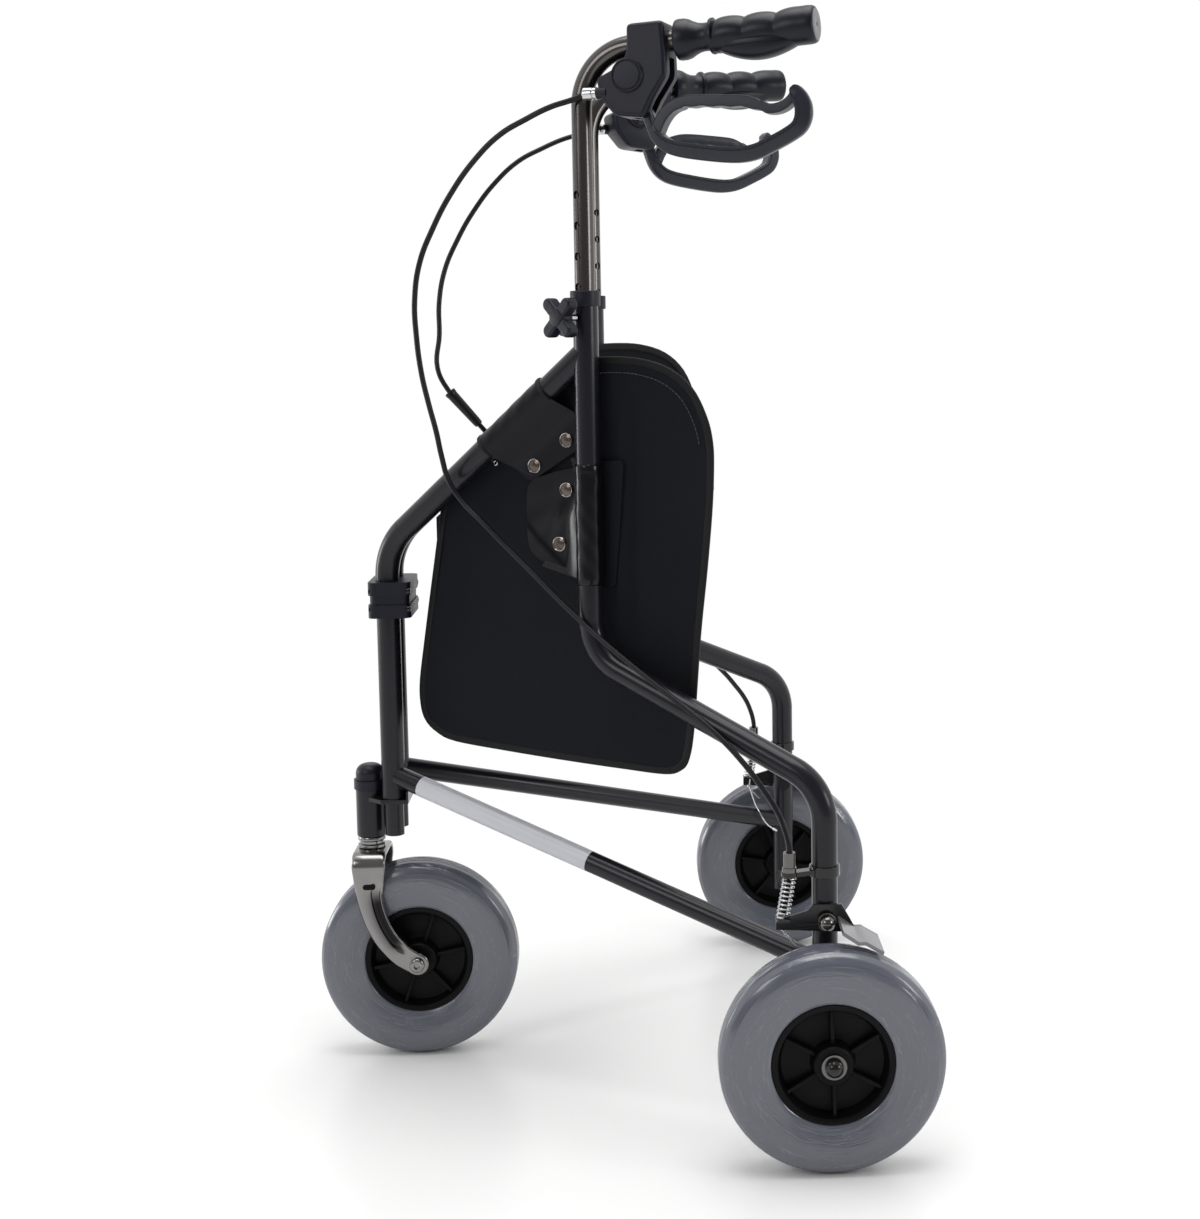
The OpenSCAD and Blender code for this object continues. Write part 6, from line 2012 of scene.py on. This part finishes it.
@dataclass(frozen=True)
class Studio:
    """Camera, pale floor and soft light."""

    eye: Point3 = (1.77415, 0.03707, 0.70127)
    right: Point3 = (0.05580449, 0.99839127, -0.01003601)
    up: Point3 = (-0.10466821, 0.01584606, 0.99438095)
    focal_px: float = 1853.38
    centre_px: Point2 = (744.59, 523.61)
    frame_px: Point2 = (1200.0, 1219.0)
    back_light: float = 1.0
    room_light: float = 0.26
    card_x: float = 2.6
    card_wide: float = 18.0
    card_far: float = 0.8
    floor_near: float = 0.42
    floor_far: float = 1.0

    def camera(self) -> None:
        """Sets the camera as the photograph's."""
        data = bpy.data.cameras.new("camera")
        data.sensor_fit = "VERTICAL"
        data.sensor_height = 36.0
        data.lens = self.focal_px / self.frame_px[1] * 36.0
        data.shift_x = (self.frame_px[0] / 2 - self.centre_px[0]) / self.frame_px[1]
        data.shift_y = (self.centre_px[1] - self.frame_px[1] / 2) / self.frame_px[1]
        data.clip_end = 50.0
        cam = bpy.data.objects.new("camera", data)
        bpy.context.scene.collection.objects.link(cam)
        r = Vector(self.right).normalized()
        u = Vector(self.up)
        u = (u - r * u.dot(r)).normalized()
        b = r.cross(u)
        cam.matrix_world = Matrix(((r.x, u.x, b.x, self.eye[0]), (r.y, u.y, b.y, self.eye[1]),
                                   (r.z, u.z, b.z, self.eye[2]), (0, 0, 0, 1)))
        bpy.context.scene.camera = cam

    def floor(self) -> None:
        """Lays the pale floor, which goes over into plain white away from the object."""
        start_clean()
        bpy.ops.mesh.primitive_plane_add(size=16.0, location=(0, 0, 0))
        floor = bpy.context.object
        floor.name = "floor"
        mat = bpy.data.materials.new("pale_floor")
        mat.use_nodes = True
        kit = NodeKit(mat.node_tree)
        shader = mat.node_tree.nodes["Principled BSDF"]
        for key, value in (("Base Color", (0.94, 0.935, 0.93, 1)), ("Roughness", 0.28),
                           ("Specular IOR Level", 0.4)):
            kit.feed(shader.inputs[key], value)
        white = kit.add("ShaderNodeEmission", Strength=1.0, Color=(1, 1, 1, 1))
        mix = kit.add("ShaderNodeMixShader")
        for index, value in ((0, kit.ramp(kit.distance(), self.floor_near, self.floor_far)),
                             (1, shader.outputs[0]), (2, white.outputs[0])):
            kit.feed(mix.inputs[index], value)
        kit.feed(mat.node_tree.nodes["Material Output"].inputs["Surface"], mix.outputs[0])
        floor.data.materials.append(mat)

    def world(self) -> None:
        """White surroundings behind the object with a dimmer room on the camera's side."""
        world = bpy.data.worlds.new("studio")
        world.use_nodes = True
        kit = NodeKit(world.node_tree)
        ground = world.node_tree.nodes["Background"]
        coord = kit.add("ShaderNodeTexCoord")
        split = kit.add("ShaderNodeSeparateXYZ", Vector=coord.outputs["Generated"])
        room = kit.ramp(split.outputs["X"], -0.15, 0.6, self.back_light, self.room_light)
        path = kit.add("ShaderNodeLightPath").outputs
        mirrored = kit.math("ADD", path["Is Glossy Ray"], path["Is Transmission Ray"])
        seen = kit.math("ADD", path["Is Camera Ray"], mirrored, clamp=True)
        mix = kit.add("ShaderNodeMix", data_type="FLOAT")
        for index, value in ((0, seen), (2, room), (3, 1.0)):
            kit.feed(mix.inputs[index], value)
        kit.feed(ground.inputs["Color"], (1, 1, 1, 1))
        kit.feed(ground.inputs["Strength"], mix.outputs[0])
        bpy.context.scene.world = world

    def card(self) -> None:
        """Stands a dim card behind the camera, which glossy pieces mirror as the darker side of the room."""
        start_clean()
        bpy.ops.mesh.primitive_plane_add(size=1.0, location=(0, 0, 0))
        card = bpy.context.object
        card.name = "dim_card"
        for vertex in card.data.vertices:
            y, z = vertex.co.x, vertex.co.y + 0.5
            vertex.co = Vector((self.card_x, y * self.card_wide, z * self.card_wide / 2))
        mat = bpy.data.materials.new("dim_card")
        mat.use_nodes = True
        kit = NodeKit(mat.node_tree)
        share = kit.ramp(kit.distance(), self.card_x * 1.5, self.card_x * 4.5, self.room_light, self.card_far)
        glow = kit.add("ShaderNodeEmission", Strength=share)
        kit.feed(mat.node_tree.nodes["Material Output"].inputs["Surface"], glow.outputs[0])
        card.data.materials.append(mat)
        card.visible_camera = False

    def lamp(self, name: str, place: Point3, aim: Point3, size: float, watts: float) -> None:
        """Hangs one soft lamp.

        Args:
            name: name of the lamp.
            place: where it hangs.
            aim: what it points at.
            size: side of its panel in metres.
            watts: its power.
        """
        data = bpy.data.lights.new(name, "AREA")
        data.shape = "SQUARE"
        data.size = size
        data.energy = watts
        lamp = bpy.data.objects.new(name, data)
        bpy.context.scene.collection.objects.link(lamp)
        lamp.location = place
        lamp.rotation_euler = (Vector(aim) - Vector(place)).to_track_quat("-Z", "Y").to_euler()

    def build(self) -> None:
        """Sets up everything round the object."""
        bpy.context.scene.view_settings.view_transform = "Standard"
        self.camera()
        self.floor()
        self.card()
        self.world()
        self.lamp("top", (0.2, 0.1, 2.8), (0, 0, 0.3), 1.8, 34.0)
        self.lamp("key", (1.7, -1.5, 1.5), (0, 0, 0.4), 0.9, 9.0)
        self.lamp("strip", (1.15, 2.0, 1.0), (0, 0, 0.6), 0.7, 9.0)
        self.lamp("window", (-0.75, -2.6, 0.5), (0.1, 0, 0.5), 0.7, 10.0)


def main(frame: dict) -> None:
    """Builds the studio and every piece in order.

    Args:
        frame: the loaded construction.
    """
    logging.basicConfig(level=logging.INFO, format="%(message)s")
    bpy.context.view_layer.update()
    Studio().build()
    paints = Paints()
    Cable().build(paints)
    Hardware().build(paints, frame["nodes"])
    Wheel().build(paints)
    Fork().build(paints)
    Spring().build(paints)
    Grip().build(paints)
    BrakeLever().build(paints)
    BrakeHousing().build(paints)
    Knob().build(paints)
    Bag().build(paints)
    SilverBand().build(paints)
    start_clean()


if __name__ == "__main__":
    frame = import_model()
    main(frame)
